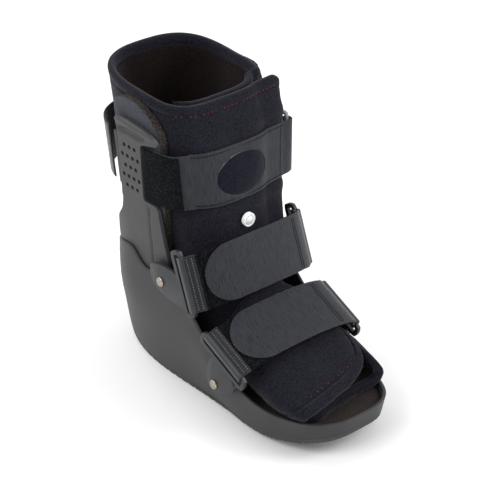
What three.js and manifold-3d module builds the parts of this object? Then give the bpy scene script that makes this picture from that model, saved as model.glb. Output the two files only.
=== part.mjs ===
// Short medical walking boot, as a scene graph of its separate pieces.
// Millimetres, +Z up, the toe points along -Y and the wearer's left is +X.
// The origin is on the floor, under the flat part of the tread.
import * as THREE from "three";
import { mergeVertices } from "three/addons/utils/BufferGeometryUtils.js";
import Module from "manifold-3d";

const wasm = await Module();
wasm.setup();

// Overall sizes
const SOLE_LENGTH = 290;
const TOE_Y = -138; // front of the toe rim
const TOE_OUT = 5; // how far the toe turns to the wearer's left
const SOLE_WIDTH = 122; // rim to rim across the ball of the foot
const BOOT_HEIGHT = 280; // floor to the back of the liner's top rim
const RIM_DROP = 14; // the rim is this much lower in front
const LEG_ALONG = 0.7724; // the leg's axis, as a share of the sole's length from the toe
const LEG_Y = TOE_Y + LEG_ALONG * SOLE_LENGTH;
const CALF_WIDTH = 112; // across the wrapped liner at the calf strap
const CALF_DEPTH = 106; // front to back, a reference for the leg table

// Walls and clearances
const GAP = 0.35; // between pieces that rest on each other
const LOOSE = 0.7; // between cloth and the curved pieces round it
const FLAP = 7; // padded outer flap
const LINER_WALL = 6.5; // padded inner layer
const PAD = 7; // foam pad beside the calf
const UPRIGHT_WALL = 2.6;
const SHELL_WALL = 2.6;
const TAB_WALL = 3; // the plates that hold the strap bars
const WEBBING = 1.7; // strap thickness
const STRAP_WIDTH = 50;

// Sole stack
const FLOOR_TOP = 24; // inside floor of the shell
const FOOTBED = 5;
const TREAD = 5; // outsole thickness below the shell
const TREAD_GROOVE = 1.8;
const TREAD_PITCH = 9;
const TOE_SPRING = 19; // lift of the tread at the toe
const HEEL_SPRING = 12; // lift of the tread at the heel
const SHELL_HEIGHT = 125; // a little above the highest point of the shell's ear
const TAB_PROUD = 0.8; // gap between a tab and the shell it is riveted to

// Hardware
const RIVET_HEAD = 9; // diameter
const RIVET_SHANK = 5;
const RIVET_DOME = 1.8; // height of the head
const SLOT_WIDTH = 6; // of a tab, the webbing passes through it
const BAR = 4; // between a tab's slot and its front edge
const FRAME = 4; // the other sides of a tab's frame
const SLOT_LENGTH = STRAP_WIDTH + 3;
const HOLE = 2.8; // ventilation hole in the stem
const HOLE_PITCH = 7; // between holes in a row
const HOLE_ROWS = 5;
const HOLE_ROW_PITCH = 9.8;

const LINER_BOTTOM = FLOOR_TOP + GAP + FOOTBED + GAP;
const PAD_OUT = LOOSE + PAD; // outside of the pad, from the liner
const BAND_OUT = PAD_OUT + GAP + WEBBING; // outside of the calf band, from the liner
const UPRIGHT_OUT = BAND_OUT + GAP + UPRIGHT_WALL;

const clamp01 = (t) => Math.min(1, Math.max(0, t));
const lerp = (a, b, t) => a + (b - a) * t;
const smooth = (a, b, t) => {
  const s = clamp01((t - a) / (b - a));
  return s * s * (3 - 2 * s);
};
const deg = THREE.MathUtils.degToRad;

// A table's column at a place, straight between its rows, which rise by key.
function lookUp(rows, key, at, column) {
  if (at <= rows[0][key]) return rows[0][column];
  for (let i = 1; i < rows.length; i++) {
    if (at <= rows[i][key]) {
      const t = (at - rows[i - 1][key]) / (rows[i][key] - rows[i - 1][key]);
      return lerp(rows[i - 1][column], rows[i][column], t);
    }
  }
  return rows[rows.length - 1][column];
}

// Values from start to end in equal steps, both ends included.
function steps(start, end, count) {
  return Array.from({ length: count + 1 }, (_, i) => lerp(start, end, i / count));
}

function geometryOf(points, triangles) {
  const geometry = new THREE.BufferGeometry();
  geometry.setAttribute("position", new THREE.Float32BufferAttribute(points.flat(), 3));
  geometry.setIndex(triangles.flat());
  return geometry;
}

// A wall between an inner and an outer surface over the same grid of u and v.
function wall(us, vs, inner, outer) {
  const nu = us.length;
  const nv = vs.length;
  const points = [];
  for (const surface of [outer, inner]) {
    for (const u of us) for (const v of vs) points.push(surface(u, v));
  }
  const at = (side, i, j) => side * nu * nv + i * nv + j;
  const triangles = [];
  const quad = (a, b, c, d) => triangles.push([a, b, c], [a, c, d]);
  for (let i = 0; i < nu - 1; i++) {
    for (let j = 0; j < nv - 1; j++) {
      quad(at(0, i, j), at(0, i + 1, j), at(0, i + 1, j + 1), at(0, i, j + 1));
      quad(at(1, i, j), at(1, i, j + 1), at(1, i + 1, j + 1), at(1, i + 1, j));
    }
    quad(at(1, i, 0), at(1, i + 1, 0), at(0, i + 1, 0), at(0, i, 0));
    quad(at(0, i, nv - 1), at(0, i + 1, nv - 1), at(1, i + 1, nv - 1), at(1, i, nv - 1));
  }
  for (let j = 0; j < nv - 1; j++) {
    quad(at(0, 0, j), at(0, 0, j + 1), at(1, 0, j + 1), at(1, 0, j));
    quad(at(1, nu - 1, j), at(1, nu - 1, j + 1), at(0, nu - 1, j + 1), at(0, nu - 1, j));
  }
  return outward(geometryOf(points, triangles));
}

// A solid lofted through closed rings with as many points each, with flat ends.
function loft(rings) {
  const n = rings[0].length;
  const points = rings.flat();
  const triangles = [];
  for (let k = 0; k < rings.length - 1; k++) {
    for (let i = 0; i < n; i++) {
      const a = k * n + i;
      const b = k * n + ((i + 1) % n);
      triangles.push([a, b, b + n], [a, b + n, a + n]);
    }
  }
  for (const [ring, flip] of [[0, true], [rings.length - 1, false]]) {
    const centre = [0, 1, 2].map((c) => rings[ring].reduce((s, p) => s + p[c], 0) / n);
    points.push(centre);
    for (let i = 0; i < n; i++) {
      const a = ring * n + i;
      const b = ring * n + ((i + 1) % n);
      triangles.push(flip ? [points.length - 1, b, a] : [points.length - 1, a, b]);
    }
  }
  return outward(geometryOf(points, triangles));
}

// Turns a closed surface's faces outwards.
function outward(geometry) {
  const p = geometry.attributes.position;
  const index = geometry.index.array;
  const a = new THREE.Vector3();
  const b = new THREE.Vector3();
  const c = new THREE.Vector3();
  let volume = 0;
  for (let i = 0; i < index.length; i += 3) {
    a.fromBufferAttribute(p, index[i]);
    b.fromBufferAttribute(p, index[i + 1]);
    c.fromBufferAttribute(p, index[i + 2]);
    volume += a.dot(b.cross(c));
  }
  if (volume < 0) {
    for (let i = 0; i < index.length; i += 3) [index[i], index[i + 1]] = [index[i + 1], index[i]];
  }
  return geometry;
}

// manifold-3d solids and back
function solid(geometry) {
  const plain = geometry.index ? geometry.clone() : geometry;
  plain.deleteAttribute("normal");
  plain.deleteAttribute("uv");
  const merged = mergeVertices(plain, 1e-4);
  return new wasm.Manifold(
    new wasm.Mesh({
      numProp: 3,
      vertProperties: merged.attributes.position.array,
      triVerts: new Uint32Array(merged.index.array),
    }),
  );
}

function meshOf(manifold) {
  const mesh = manifold.getMesh();
  const made = new THREE.BufferGeometry();
  made.setAttribute("position", new THREE.BufferAttribute(new Float32Array(mesh.vertProperties), 3));
  made.setIndex(new THREE.BufferAttribute(new Uint32Array(mesh.triVerts), 1));
  return made;
}

const material = (color, roughness, metalness = 0) =>
  new THREE.MeshStandardMaterial({ color, roughness, metalness, flatShading: true });
const MATERIALS = {
  shell: material(0x5d5d5f, 0.5),
  tread: material(0x3a3a3c, 0.8),
  foam: material(0x2b2826, 0.95),
  liner: material(0x1d2030, 0.95),
  webbing: material(0x2c2d33, 0.8),
  hook: material(0x101214, 0.95),
  nickel: material(0xb9a58a, 0.35, 0.9),
  valve: material(0xf2f2f2, 0.4),
  ring: material(0x9fa3a8, 0.4),
};

const boot = new THREE.Group();
function add(name, shape, look) {
  const mesh = new THREE.Mesh(shape, MATERIALS[look]);
  mesh.name = name;
  boot.add(mesh);
}

// Leg surface
// The outside of the wrapped liner round the leg. height is a share of BOOT_HEIGHT, half of CALF_WIDTH / 2,
// front and back of CALF_DEPTH / 2 from LEG_Y. corner and heel are how square the front and the back are.
const LEG = [
  { height: 0.105, half: 0.62, front: 1.2, back: 0.95, corner: 2.2, heel: 2.2 },
  { height: 0.16, half: 0.74, front: 1.5, back: 1.08, corner: 2.2, heel: 2.2 },
  { height: 0.25, half: 0.79, front: 1.76, back: 1.12, corner: 2.2, heel: 2.2 },
  { height: 0.34, half: 0.8, front: 1.95, back: 1.07, corner: 2.2, heel: 2.2 },
  { height: 0.4, half: 0.81, front: 1.92, back: 1.02, corner: 2.3, heel: 2.2 },
  { height: 0.47, half: 0.84, front: 1.74, back: 1.0, corner: 2.6, heel: 2.3 },
  { height: 0.54, half: 0.88, front: 1.52, back: 1.02, corner: 2.9, heel: 2.4 },
  { height: 0.62, half: 0.91, front: 1.36, back: 1.06, corner: 3.2, heel: 2.5 },
  { height: 0.72, half: 0.94, front: 1.28, back: 1.1, corner: 3.4, heel: 2.6 },
  { height: 0.82, half: 0.965, front: 1.22, back: 1.15, corner: 3.6, heel: 2.7 },
  { height: 0.91, half: 1.0, front: 1.06, back: 1.19, corner: 3.8, heel: 2.8 },
  { height: 1.0, half: 1.06, front: 0.9, back: 1.22, corner: 4.0, heel: 2.9 },
];
const LEG_ANGLES = [-165, -147, -130, -110, -90, -70, -50, -33, -15, 5, 22, 36, 44, 52, 64, 82, 100, 116, 128,
  136, 144, 160, 180];
// A place beside the leg, ahead of its axis as a share of CALF_DEPTH / 2 and up as a share of BOOT_HEIGHT.
const legPlaces = (rows) => rows.map(({ ahead, height }) => [
  LEG_Y - (ahead * CALF_DEPTH) / 2,
  height * BOOT_HEIGHT,
]);
const rimAt = (angle) => BOOT_HEIGHT - RIM_DROP * (0.5 + 0.5 * Math.sin(deg(angle)));
const legRow = (z, column) => lookUp(LEG, "height", z / BOOT_HEIGHT, column);
const legHalf = (z) => (legRow(z, "half") * CALF_WIDTH) / 2;

function legPoint(angle, z, offset = 0) {
  const c = Math.cos(deg(angle));
  const s = Math.sin(deg(angle));
  const reach = (legRow(z, s > 0 ? "front" : "back") * CALF_DEPTH) / 2 + offset;
  const power = 2 / legRow(z, s > 0 ? "corner" : "heel");
  const x = (legHalf(z) + offset) * Math.sign(c) * Math.abs(c) ** power;
  return [x, LEG_Y - reach * Math.sign(s) * Math.abs(s) ** power, z];
}

// How far the leg surface is from the middle plane at a place beside the leg.
function legSide(y, z, offset) {
  const ahead = y < LEG_Y;
  const reach = (legRow(z, ahead ? "front" : "back") * CALF_DEPTH) / 2 + offset;
  const square = legRow(z, ahead ? "corner" : "heel");
  const share = Math.min(0.98, Math.abs(y - LEG_Y) / reach);
  return (legHalf(z) + offset) * (1 - share ** square) ** (1 / square);
}

// Foot surface
// The outside of the wrapped liner round the foot. along is a share of SOLE_LENGTH from the toe rim, half of
// SOLE_WIDTH / 2 and top of SHELL_HEIGHT.
const FOOT = [
  { along: 0.04, half: 0.78, top: 0.3696 },
  { along: 0.1, half: 0.82, top: 0.4256 },
  { along: 0.18, half: 0.86, top: 0.4973 },
  { along: 0.25, half: 0.84, top: 0.5779 },
  { along: 0.38, half: 0.78, top: 0.7504 },
  { along: 0.44, half: 0.76, top: 0.896 },
  { along: 0.52, half: 0.74, top: 0.9408 },
  { along: 0.74, half: 0.7, top: 0.9408 },
];
const FOOT_ROUND = 2.5; // squareness over the foot
const FOOT_FLAT = 2.9; // squareness under the foot
const FOOT_ANGLES = steps(0, 345, 23);
const footAt = (along) => TOE_Y + along * SOLE_LENGTH;
const toeOut = (along) => TOE_OUT * clamp01(1 - along / 0.6) ** 1.3;

function footPoint(angle, y, offset = 0) {
  const along = (y - TOE_Y) / SOLE_LENGTH;
  const half = (lookUp(FOOT, "along", along, "half") * SOLE_WIDTH) / 2 + offset;
  const top = lookUp(FOOT, "along", along, "top") * SHELL_HEIGHT;
  const middle = lerp(LINER_BOTTOM, top, 0.4);
  const c = Math.cos(deg(angle));
  const s = Math.sin(deg(angle));
  const power = 2 / (s > 0 ? FOOT_ROUND : FOOT_FLAT);
  const reach = s > 0 ? top - middle + offset : middle - LINER_BOTTOM + Math.min(offset, 0);
  const x = half * Math.sign(c) * Math.abs(c) ** power;
  return [x + toeOut(along), y, middle + reach * Math.sign(s) * Math.abs(s) ** power];
}

// Sole and shell
// low and high are half widths as shares of SOLE_WIDTH / 2, along is a share of SOLE_LENGTH from the toe rim.
const SOLE_PLAN = [
  { along: 0, low: 0.88, high: 1.0 },
  { along: 0.2, low: 0.88, high: 1.02 },
  { along: 0.4, low: 0.76, high: 1.0 },
  { along: 0.55, low: 0.76, high: 0.99 },
  { along: 0.75, low: 0.8, high: 1.0 },
  { along: 1, low: 0.8, high: 1.0 },
];
const TOE_SQUARE = 3.2;
const HEEL_SQUARE = 3;
const FLARE_HEIGHT = 38; // height over which the wall leans out at the toe
const HEEL_FLARE = 80; // the same at the heel
const EAR_FOOT = 34; // the wall starts to follow the leg's shape at this height
const EAR_ROOT = 96; // and follows it fully from this one
const TOE_TUCK = 8; // how far the sole's toe is behind the rim above it
const HEEL_TUCK = 8;

// The shell's top edge, high is a share of SHELL_HEIGHT.
const RIM = [
  { along: 0, high: 0.29 },
  { along: 0.1, high: 0.275 },
  { along: 0.2, high: 0.285 },
  { along: 0.3, high: 0.355 },
  { along: 0.39, high: 0.455 },
  { along: 0.475, high: 0.625 },
  { along: 0.55, high: 0.82 },
  { along: 0.58, high: 0.94 },
  { along: 0.67, high: 0.95 },
  { along: 0.69, high: 0.91 },
  { along: 0.715, high: 0.865 },
  { along: 0.745, high: 0.86 },
  { along: 0.775, high: 0.9 },
  { along: 0.8, high: 0.96 },
  { along: 0.83, high: 0.97 },
  { along: 0.9, high: 0.93 },
  { along: 0.95, high: 0.87 },
  { along: 1, high: 0.82 },
];
const EAR_OUT = UPRIGHT_OUT + GAP + SHELL_WALL; // outside of the shell's ear, from the liner
const HEEL_OUT = 2.5 + SHELL_WALL; // the same behind the heel
const HALF_STATIONS = 30;

// Share of the way from toe to heel of a station, closer together at the ends.
function stationAlong(i) {
  const c = Math.cos((Math.PI * i) / HALF_STATIONS);
  const square = c > 0 ? TOE_SQUARE : HEEL_SQUARE;
  return (1 - Math.sign(c) * Math.abs(c) ** (2 / square)) / 2;
}

function stationRound(i) {
  const psi = (Math.PI * i) / HALF_STATIONS;
  const square = Math.cos(psi) > 0 ? TOE_SQUARE : HEEL_SQUARE;
  return Math.abs(Math.sin(psi)) ** (2 / square);
}

// Underside of the tread: a flat middle with a lift at the toe and the heel.
function rocker(along) {
  const toe = clamp01((0.36 - along) / 0.36) ** 1.8;
  const heel = clamp01((along - 0.78) / 0.22) ** 1.8;
  return TOE_SPRING * toe + HEEL_SPRING * heel;
}

// The shell's outline at a height, for a station on the wearer's right (side -1) or left (side 1).
function shellPoint(i, side, z, inset = 0) {
  const along = stationAlong(i);
  const rise = clamp01(z / lerp(FLARE_HEIGHT, HEEL_FLARE, smooth(0.35, 0.6, along))) ** 0.75;
  const low = lookUp(SOLE_PLAN, "along", along, "low");
  const high = lookUp(SOLE_PLAN, "along", along, "high");
  const half = (lerp(low, high, rise) * SOLE_WIDTH) / 2 - inset;
  const front = TOE_Y + TOE_TUCK * (1 - rise) + inset;
  const back = TOE_Y + SOLE_LENGTH - HEEL_TUCK * (1 - rise) ** 1.5 - inset;
  const soleX = half * stationRound(i);
  const soleY = lerp(front, back, along);
  const held = Math.max(z, 0.36 * BOOT_HEIGHT);
  const earHalf = legHalf(held) + EAR_OUT - inset;
  const earBack = (legRow(held, "back") * CALF_DEPTH) / 2 + HEEL_OUT - inset;
  const earY = lerp(front, LEG_Y + earBack, along);
  const behind = earY > LEG_Y;
  const square = behind ? legRow(held, "heel") : 3;
  const share = Math.min(1, Math.abs(earY - LEG_Y) / (behind ? earBack : LEG_Y - front));
  const earX = earHalf * (1 - share ** square) ** (1 / square);
  const grip = smooth(EAR_FOOT, EAR_ROOT, z) * smooth(0.42, 0.6, along);
  return [side * lerp(soleX, earX, grip) + toeOut(along), lerp(soleY, earY, grip), z];
}

const rimHeight = (along) => lookUp(RIM, "along", along, "high") * SHELL_HEIGHT;

// Stations once round: the right side from toe to heel, the left side back again.
const STATIONS = [];
for (let i = 0; i <= HALF_STATIONS; i++) STATIONS.push([i, -1]);
for (let i = HALF_STATIONS - 1; i > 0; i--) STATIONS.push([i, 1]);

// Quads round a stack of rings that start at base.
function skin(triangles, base, rows, flip) {
  const n = STATIONS.length;
  for (let r = 0; r < rows - 1; r++) {
    for (let s = 0; s < n; s++) {
      const a = base + r * n + s;
      const b = base + r * n + ((s + 1) % n);
      const pair = [[a, b, b + n], [a, b + n, a + n]];
      for (const [p, q, t] of pair) triangles.push(flip ? [p, t, q] : [p, q, t]);
    }
  }
}

// Strips across a ring from its right stations to the left ones.
function lid(triangles, base, flip) {
  const n = STATIONS.length;
  for (let i = 0; i < HALF_STATIONS; i++) {
    const right = base + i;
    const left = base + ((n - i) % n);
    const nextLeft = base + n - i - 1;
    const faces = i < HALF_STATIONS - 1 ? [[right, right + 1, nextLeft]] : [[right, right + 1, left]];
    if (i > 0 && i < HALF_STATIONS - 1) faces.push([right, nextLeft, left]);
    for (const [p, q, t] of faces) triangles.push(flip ? [p, t, q] : [p, q, t]);
  }
}

// The shell's tray, or the same grown by a clearance on its inside and its rim and by extra on its outside.
function trayGeometry(clearance, extra) {
  const levels = [0, 0.15, 0.38, 0.7, 1];
  const points = [];
  for (const t of levels) {
    for (const [i, side] of STATIONS) {
      const along = stationAlong(i);
      const z = lerp(rocker(along) + TREAD + GAP, rimHeight(along) + clearance, t);
      points.push(shellPoint(i, side, z, -extra));
    }
  }
  for (const t of levels) {
    for (const [i, side] of STATIONS) {
      const z = lerp(FLOOR_TOP, rimHeight(stationAlong(i)) + clearance, t);
      points.push(shellPoint(i, side, z, SHELL_WALL + clearance));
    }
  }
  const n = STATIONS.length;
  const inside = levels.length * n;
  const triangles = [];
  skin(triangles, 0, levels.length, false);
  skin(triangles, inside, levels.length, true);
  for (let s = 0; s < n; s++) {
    const a = inside - n + s;
    const b = inside - n + ((s + 1) % n);
    triangles.push([a, b, b + inside], [a, b + inside, a + inside]);
  }
  lid(triangles, 0, true);
  lid(triangles, inside, false);
  return outward(geometryOf(points, triangles));
}

// A slab inside the shell's outline, between a bottom and a top height for each station.
function slab(bottomAt, topAt, inset) {
  const points = [];
  for (const heightAt of [bottomAt, topAt]) {
    for (const [i, side] of STATIONS) points.push(shellPoint(i, side, heightAt(stationAlong(i)), inset));
  }
  const triangles = [];
  skin(triangles, 0, 2, false);
  lid(triangles, 0, true);
  lid(triangles, STATIONS.length, false);
  return outward(geometryOf(points, triangles));
}

// Extrudes a shape drawn in (y, z) along X between two places.
function sideExtrude(shape, from, to, curveSegments = 5) {
  const made = new THREE.ExtrudeGeometry(shape, { depth: to - from, bevelEnabled: false, curveSegments });
  const turn = new THREE.Matrix4().makeBasis(
    new THREE.Vector3(0, 1, 0),
    new THREE.Vector3(0, 0, 1),
    new THREE.Vector3(1, 0, 0),
  );
  return made.applyMatrix4(turn.setPosition(from, 0, 0));
}

// A cylinder along X, centred on (y, z).
function pin(radius, from, to, y, z, segments = 8) {
  const made = new THREE.CylinderGeometry(radius, radius, to - from, segments);
  made.rotateZ(Math.PI / 2);
  return made.translate((from + to) / 2, y, z);
}

// The largest body of a cut solid.
function largest(manifold) {
  return manifold.decompose().sort((a, b) => b.volume() - a.volume())[0];
}

function union(manifolds) {
  return manifolds.reduce((sum, one) => sum.add(one));
}

// The same solid on the other side of the boot.
const mirrored = (manifold) => manifold.mirror([1, 0, 0]);

// Both sides of a piece drawn for the wearer's left (+X).
function addPair(name, manifold, look) {
  add(`${name}_left`, meshOf(manifold), look);
  add(`${name}_right`, meshOf(mirrored(manifold)), look);
}

// Outsole
const outsoleBody = solid(slab((along) => rocker(along), (along) => rocker(along) + TREAD, 0));
const grooves = [];
const firstGroove = (Math.ceil((TOE_Y + TREAD_PITCH) / TREAD_PITCH) + 0.5) * TREAD_PITCH;
for (let y = firstGroove; y < TOE_Y + SOLE_LENGTH - TREAD_PITCH; y += TREAD_PITCH) {
  const groove = new THREE.CylinderGeometry(TREAD_GROOVE, TREAD_GROOVE, SOLE_WIDTH * 1.2, 4);
  groove.rotateZ(Math.PI / 2);
  grooves.push(solid(groove.translate(0, y, rocker((y - TOE_Y) / SOLE_LENGTH))));
}
add("outsole", meshOf(outsoleBody.subtract(union(grooves))), "tread");

// Footbed
const footbedLow = FLOOR_TOP + GAP;
add("footbed", slab(() => footbedLow, () => footbedLow + FOOTBED, SHELL_WALL + LOOSE), "foam");

// Tabs
// Each tab is drawn in (y, z) beside the shell. slot is the middle of its slot, tilt the angle of its bar
// from upright, plate has its corners from the rivet, out is its distance from the middle plane. Its strap
// rises by rise over the foot and its middle is shifted along the foot by shift.
const ANKLE = {
  slotY: footAt(0.5193),
  slotZ: 0.955 * SHELL_HEIGHT,
  rivetY: footAt(0.6262),
  rivetZ: 0.8616 * SHELL_HEIGHT,
  plate: [[16.4, 13.3], [12.4, -5.7], [-3.6, -11.7], [-37.6, -14.7], [-25.6, 18.3], [0.4, 17.3]],
  out: legHalf(0.42 * BOOT_HEIGHT) + EAR_OUT + TAB_PROUD,
  tilt: 21,
  rise: 22,
  shift: 3,
};
const FOREFOOT = {
  slotY: footAt(0.3379),
  slotZ: 0.5512 * SHELL_HEIGHT,
  rivetY: footAt(0.3762),
  rivetZ: 0.32 * SHELL_HEIGHT,
  plate: [[8.9, 16], [9.9, -1], [0.9, -10], [-13.1, -6], [-31.1, 10], [0.9, 32]],
  out: SOLE_WIDTH / 2 + toeOut(0.38) + TAB_PROUD,
  tilt: 66,
  rise: 16,
  shift: 0,
};

// A tab's place from its slot's middle: across runs along the slot downwards, ahead runs to the front.
function tabPlace(tab, across, ahead) {
  const c = Math.cos(deg(tab.tilt));
  const s = Math.sin(deg(tab.tilt));
  return [tab.slotY - s * across - c * ahead, tab.slotZ - c * across + s * ahead];
}

function roundedOutline(corners, radius) {
  const shape = new THREE.Shape();
  const n = corners.length;
  corners.forEach((corner, i) => {
    const here = new THREE.Vector2(...corner);
    const before = new THREE.Vector2(...corners[(i + n - 1) % n]);
    const after = new THREE.Vector2(...corners[(i + 1) % n]);
    const r = Math.min(radius, before.distanceTo(here) / 2.05, after.distanceTo(here) / 2.05);
    const a = here.clone().add(before.sub(here).setLength(r));
    const b = here.clone().add(after.sub(here).setLength(r));
    if (i === 0) shape.moveTo(a.x, a.y);
    else shape.lineTo(a.x, a.y);
    shape.quadraticCurveTo(here.x, here.y, b.x, b.y);
  });
  shape.closePath();
  return shape;
}

function tabSolid(tab) {
  const plate = tab.plate.map(([y, z]) => [tab.rivetY + y, tab.rivetZ + z]);
  const long = SLOT_LENGTH / 2 + FRAME;
  const rear = -SLOT_WIDTH / 2 - FRAME;
  const fore = SLOT_WIDTH / 2 + BAR;
  const placed = (corners) => corners.map(([across, ahead]) => tabPlace(tab, across, ahead));
  const ring = placed([[-long, rear], [-long, fore], [long, fore], [long, rear]]);
  const slotHalf = SLOT_LENGTH / 2;
  const wide = SLOT_WIDTH / 2;
  const slot = placed([[-slotHalf, -wide], [-slotHalf, wide], [slotHalf, wide], [slotHalf, -wide]]);
  const from = tab.out;
  const to = tab.out + TAB_WALL;
  const body = solid(sideExtrude(roundedOutline(ring, 5), from, to, 2)).add(
    solid(sideExtrude(roundedOutline(plate, 9), from, to, 2)),
  );
  const hole = solid(sideExtrude(roundedOutline(slot, 2), from - 1, to + 1, 2));
  const bore = solid(pin(RIVET_SHANK / 2 + GAP, from - 1, to + 1, tab.rivetY, tab.rivetZ));
  return body.subtract(hole).subtract(bore);
}

function rivetSolid(tab) {
  const outside = tab.out + TAB_WALL + GAP;
  const r = RIVET_HEAD / 2;
  const profile = [
    [0, 0], [r, 0], [r, RIVET_DOME * 0.35], [r * 0.72, RIVET_DOME * 0.85], [0, RIVET_DOME],
  ].map(([x, y]) => new THREE.Vector2(x, y));
  const head = new THREE.LatheGeometry(profile, 10);
  head.rotateZ(-Math.PI / 2);
  head.translate(outside, tab.rivetY, tab.rivetZ);
  const shankEnd = tab.out - TAB_PROUD - SHELL_WALL - 2;
  return solid(head).add(solid(pin(RIVET_SHANK / 2, shankEnd, outside + 0.3, tab.rivetY, tab.rivetZ)));
}

addPair("ankle_tab", tabSolid(ANKLE), "shell");
addPair("forefoot_tab", tabSolid(FOREFOOT), "shell");
addPair("ankle_rivet", rivetSolid(ANKLE), "nickel");
addPair("forefoot_rivet", rivetSolid(FOREFOOT), "nickel");

// Shell, with its rivet holes
const rivetHoles = [ANKLE, FOREFOOT].map((tab) =>
  solid(pin(RIVET_SHANK / 2 + GAP, tab.out - 12, tab.out + 6, tab.rivetY, tab.rivetZ)),
);
const bores = union([...rivetHoles, ...rivetHoles.map(mirrored)]);
add("shell", meshOf(solid(trayGeometry(0, 0)).subtract(bores)), "shell");
const shellRoom = solid(trayGeometry(LOOSE, 12));

// Liner: one padded bootie, thinner where the outer flaps lie on it
const CALF_FLAP = { from: 36, to: 144, low: 0.3714 * BOOT_HEIGHT, lift: 8, push: 7 };
const FOOT_FLAP = { from: 0, to: 204, back: footAt(0.405) };
const TOE_CUT = footAt(0.075); // the liner's open toe
const FLAP_ROOM = FLAP + GAP;

const underFlap = (angle) => angle >= CALF_FLAP.from && angle <= CALF_FLAP.to;
const calfInset = (angle) => (underFlap(angle) ? FLAP_ROOM : 0);
const footInset = (angle) => (angle >= FOOT_FLAP.from && angle <= FOOT_FLAP.to ? FLAP_ROOM : 0);

function legLevels(low) {
  const rows = LEG.map((row) => row.height * BOOT_HEIGHT).filter((z) => z > low + 2 && z < BOOT_HEIGHT - 20);
  return [low, ...rows];
}

// Rings of the leg surface up to its rim, raised above the rim by extra.
function legRings(angles, levels, offsetAt, extra) {
  const rings = levels.map((z) => angles.map((a) => legPoint(a, z, offsetAt(a))));
  rings.push(angles.map((a) => legPoint(a, rimAt(a), offsetAt(a))).map(([x, y, z]) => [x, y, z + extra]));
  return rings;
}

function footRings(levels, offsetAt) {
  return levels.map((y) => FOOT_ANGLES.map((a) => footPoint(a, y, offsetAt(a))));
}

const heelFront = footAt(0.74);
const footLevels = (front) => [front, ...FOOT.map((row) => footAt(row.along)).filter((y) => y > front + 1)];
const flapAngles = LEG_ANGLES.filter(underFlap);
const flapLevels = [CALF_FLAP.low, ...legLevels(CALF_FLAP.low + 3).slice(1)];
const linerLevels = [...legLevels(LINER_BOTTOM).filter((z) => z < CALF_FLAP.low - 2), ...flapLevels];
const linerOuter = union([
  solid(loft(legRings(LEG_ANGLES, linerLevels, (a) => -calfInset(a), 0))),
  solid(loft(footRings(footLevels(TOE_CUT), (a) => -footInset(a)))),
]);
const linerInner = union([
  solid(loft(legRings(LEG_ANGLES, [LINER_BOTTOM + LINER_WALL, ...legLevels(40).slice(1)],
    (a) => -calfInset(a) - LINER_WALL, 1))),
  solid(loft(footRings([TOE_CUT - 1, ...footLevels(TOE_CUT).slice(1)], (a) => -footInset(a) - LINER_WALL))),
]);
const calfFlapRoom = wall(
  flapAngles,
  [CALF_FLAP.low - GAP, ...flapLevels],
  (a, z) => legPoint(a, z, -FLAP - GAP),
  (a, z) => legPoint(a, z, GAP),
);
// Over the toes only the foot flap covers the foot: the liner has its bottom and its left wall there.
const toeRoom = new THREE.BoxGeometry(SOLE_WIDTH, 40, 60);
toeRoom.translate(-0.148 * SOLE_WIDTH * 2, footAt(0.185) - 20, LINER_BOTTOM + LINER_WALL + 30);
const liner = largest(
  linerOuter.subtract(linerInner).subtract(shellRoom).subtract(solid(calfFlapRoom)).subtract(solid(toeRoom)),
);
add("liner_boot", meshOf(liner), "liner");

// Calf flap, its free edge stands off the calf to the front and the side
const flapFree = (angle) => smooth(CALF_FLAP.from + 28, CALF_FLAP.from, angle);

function flapPoint(angle, z, offset) {
  const free = flapFree(angle);
  const [x, y] = legPoint(angle, z, CALF_FLAP.lift * free + offset);
  return [x + CALF_FLAP.push * free, y, z];
}

const flapRim = (angle, z) => (z < BOOT_HEIGHT ? z : rimAt(angle));
const calfFlap = wall(
  flapAngles,
  [...flapLevels, BOOT_HEIGHT],
  (a, z) => flapPoint(a, flapRim(a, z), -FLAP),
  (a, z) => flapPoint(a, flapRim(a, z), 0),
);
add("calf_flap", calfFlap, "liner");

// Foot flap with a slanting, rounded front edge
const footFlapAngles = FOOT_ANGLES.filter((a) => footInset(a) > 0);
const footFlapPlan = new THREE.Shape();
footFlapPlan.moveTo(-0.656 * SOLE_WIDTH, footAt(0.045));
footFlapPlan.lineTo(0.082 * SOLE_WIDTH, footAt(0.075));
footFlapPlan.quadraticCurveTo(0.393 * SOLE_WIDTH, footAt(0.1), 0.475 * SOLE_WIDTH, footAt(0.2));
footFlapPlan.lineTo(0.508 * SOLE_WIDTH, FOOT_FLAP.back + 30);
footFlapPlan.lineTo(-0.656 * SOLE_WIDTH, FOOT_FLAP.back + 30);
const planPrism = new THREE.ExtrudeGeometry(footFlapPlan, {
  depth: BOOT_HEIGHT,
  bevelEnabled: false,
  curveSegments: 6,
});
const footFlapLevels = footLevels(footAt(0.04)).filter((y) => y < FOOT_FLAP.back - 1);
const footFlap = wall(
  footFlapAngles,
  [...footFlapLevels, FOOT_FLAP.back],
  (a, y) => footPoint(a, y, -FLAP),
  (a, y) => footPoint(a, y, 0),
);
const footFlapSolid = largest(
  solid(footFlap).intersect(solid(planPrism)).subtract(shellRoom).subtract(solid(calfFlapRoom)),
);
add("foot_flap", meshOf(footFlapSolid), "liner");

// Curved slab beside the leg between two offsets from the liner, for the wearer's left.
function sideSlab(innerOut, outerOut, low, high) {
  return wall(
    steps(LEG_Y - 0.623 * CALF_DEPTH, LEG_Y + 0.434 * CALF_DEPTH, 7),
    [low, ...LEG.map((row) => row.height * BOOT_HEIGHT).filter((z) => z > low + 2 && z < high - 2), high],
    (y, z) => [legSide(y, z, innerOut), y, z],
    (y, z) => [legSide(y, z, outerOut), y, z],
  );
}

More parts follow.
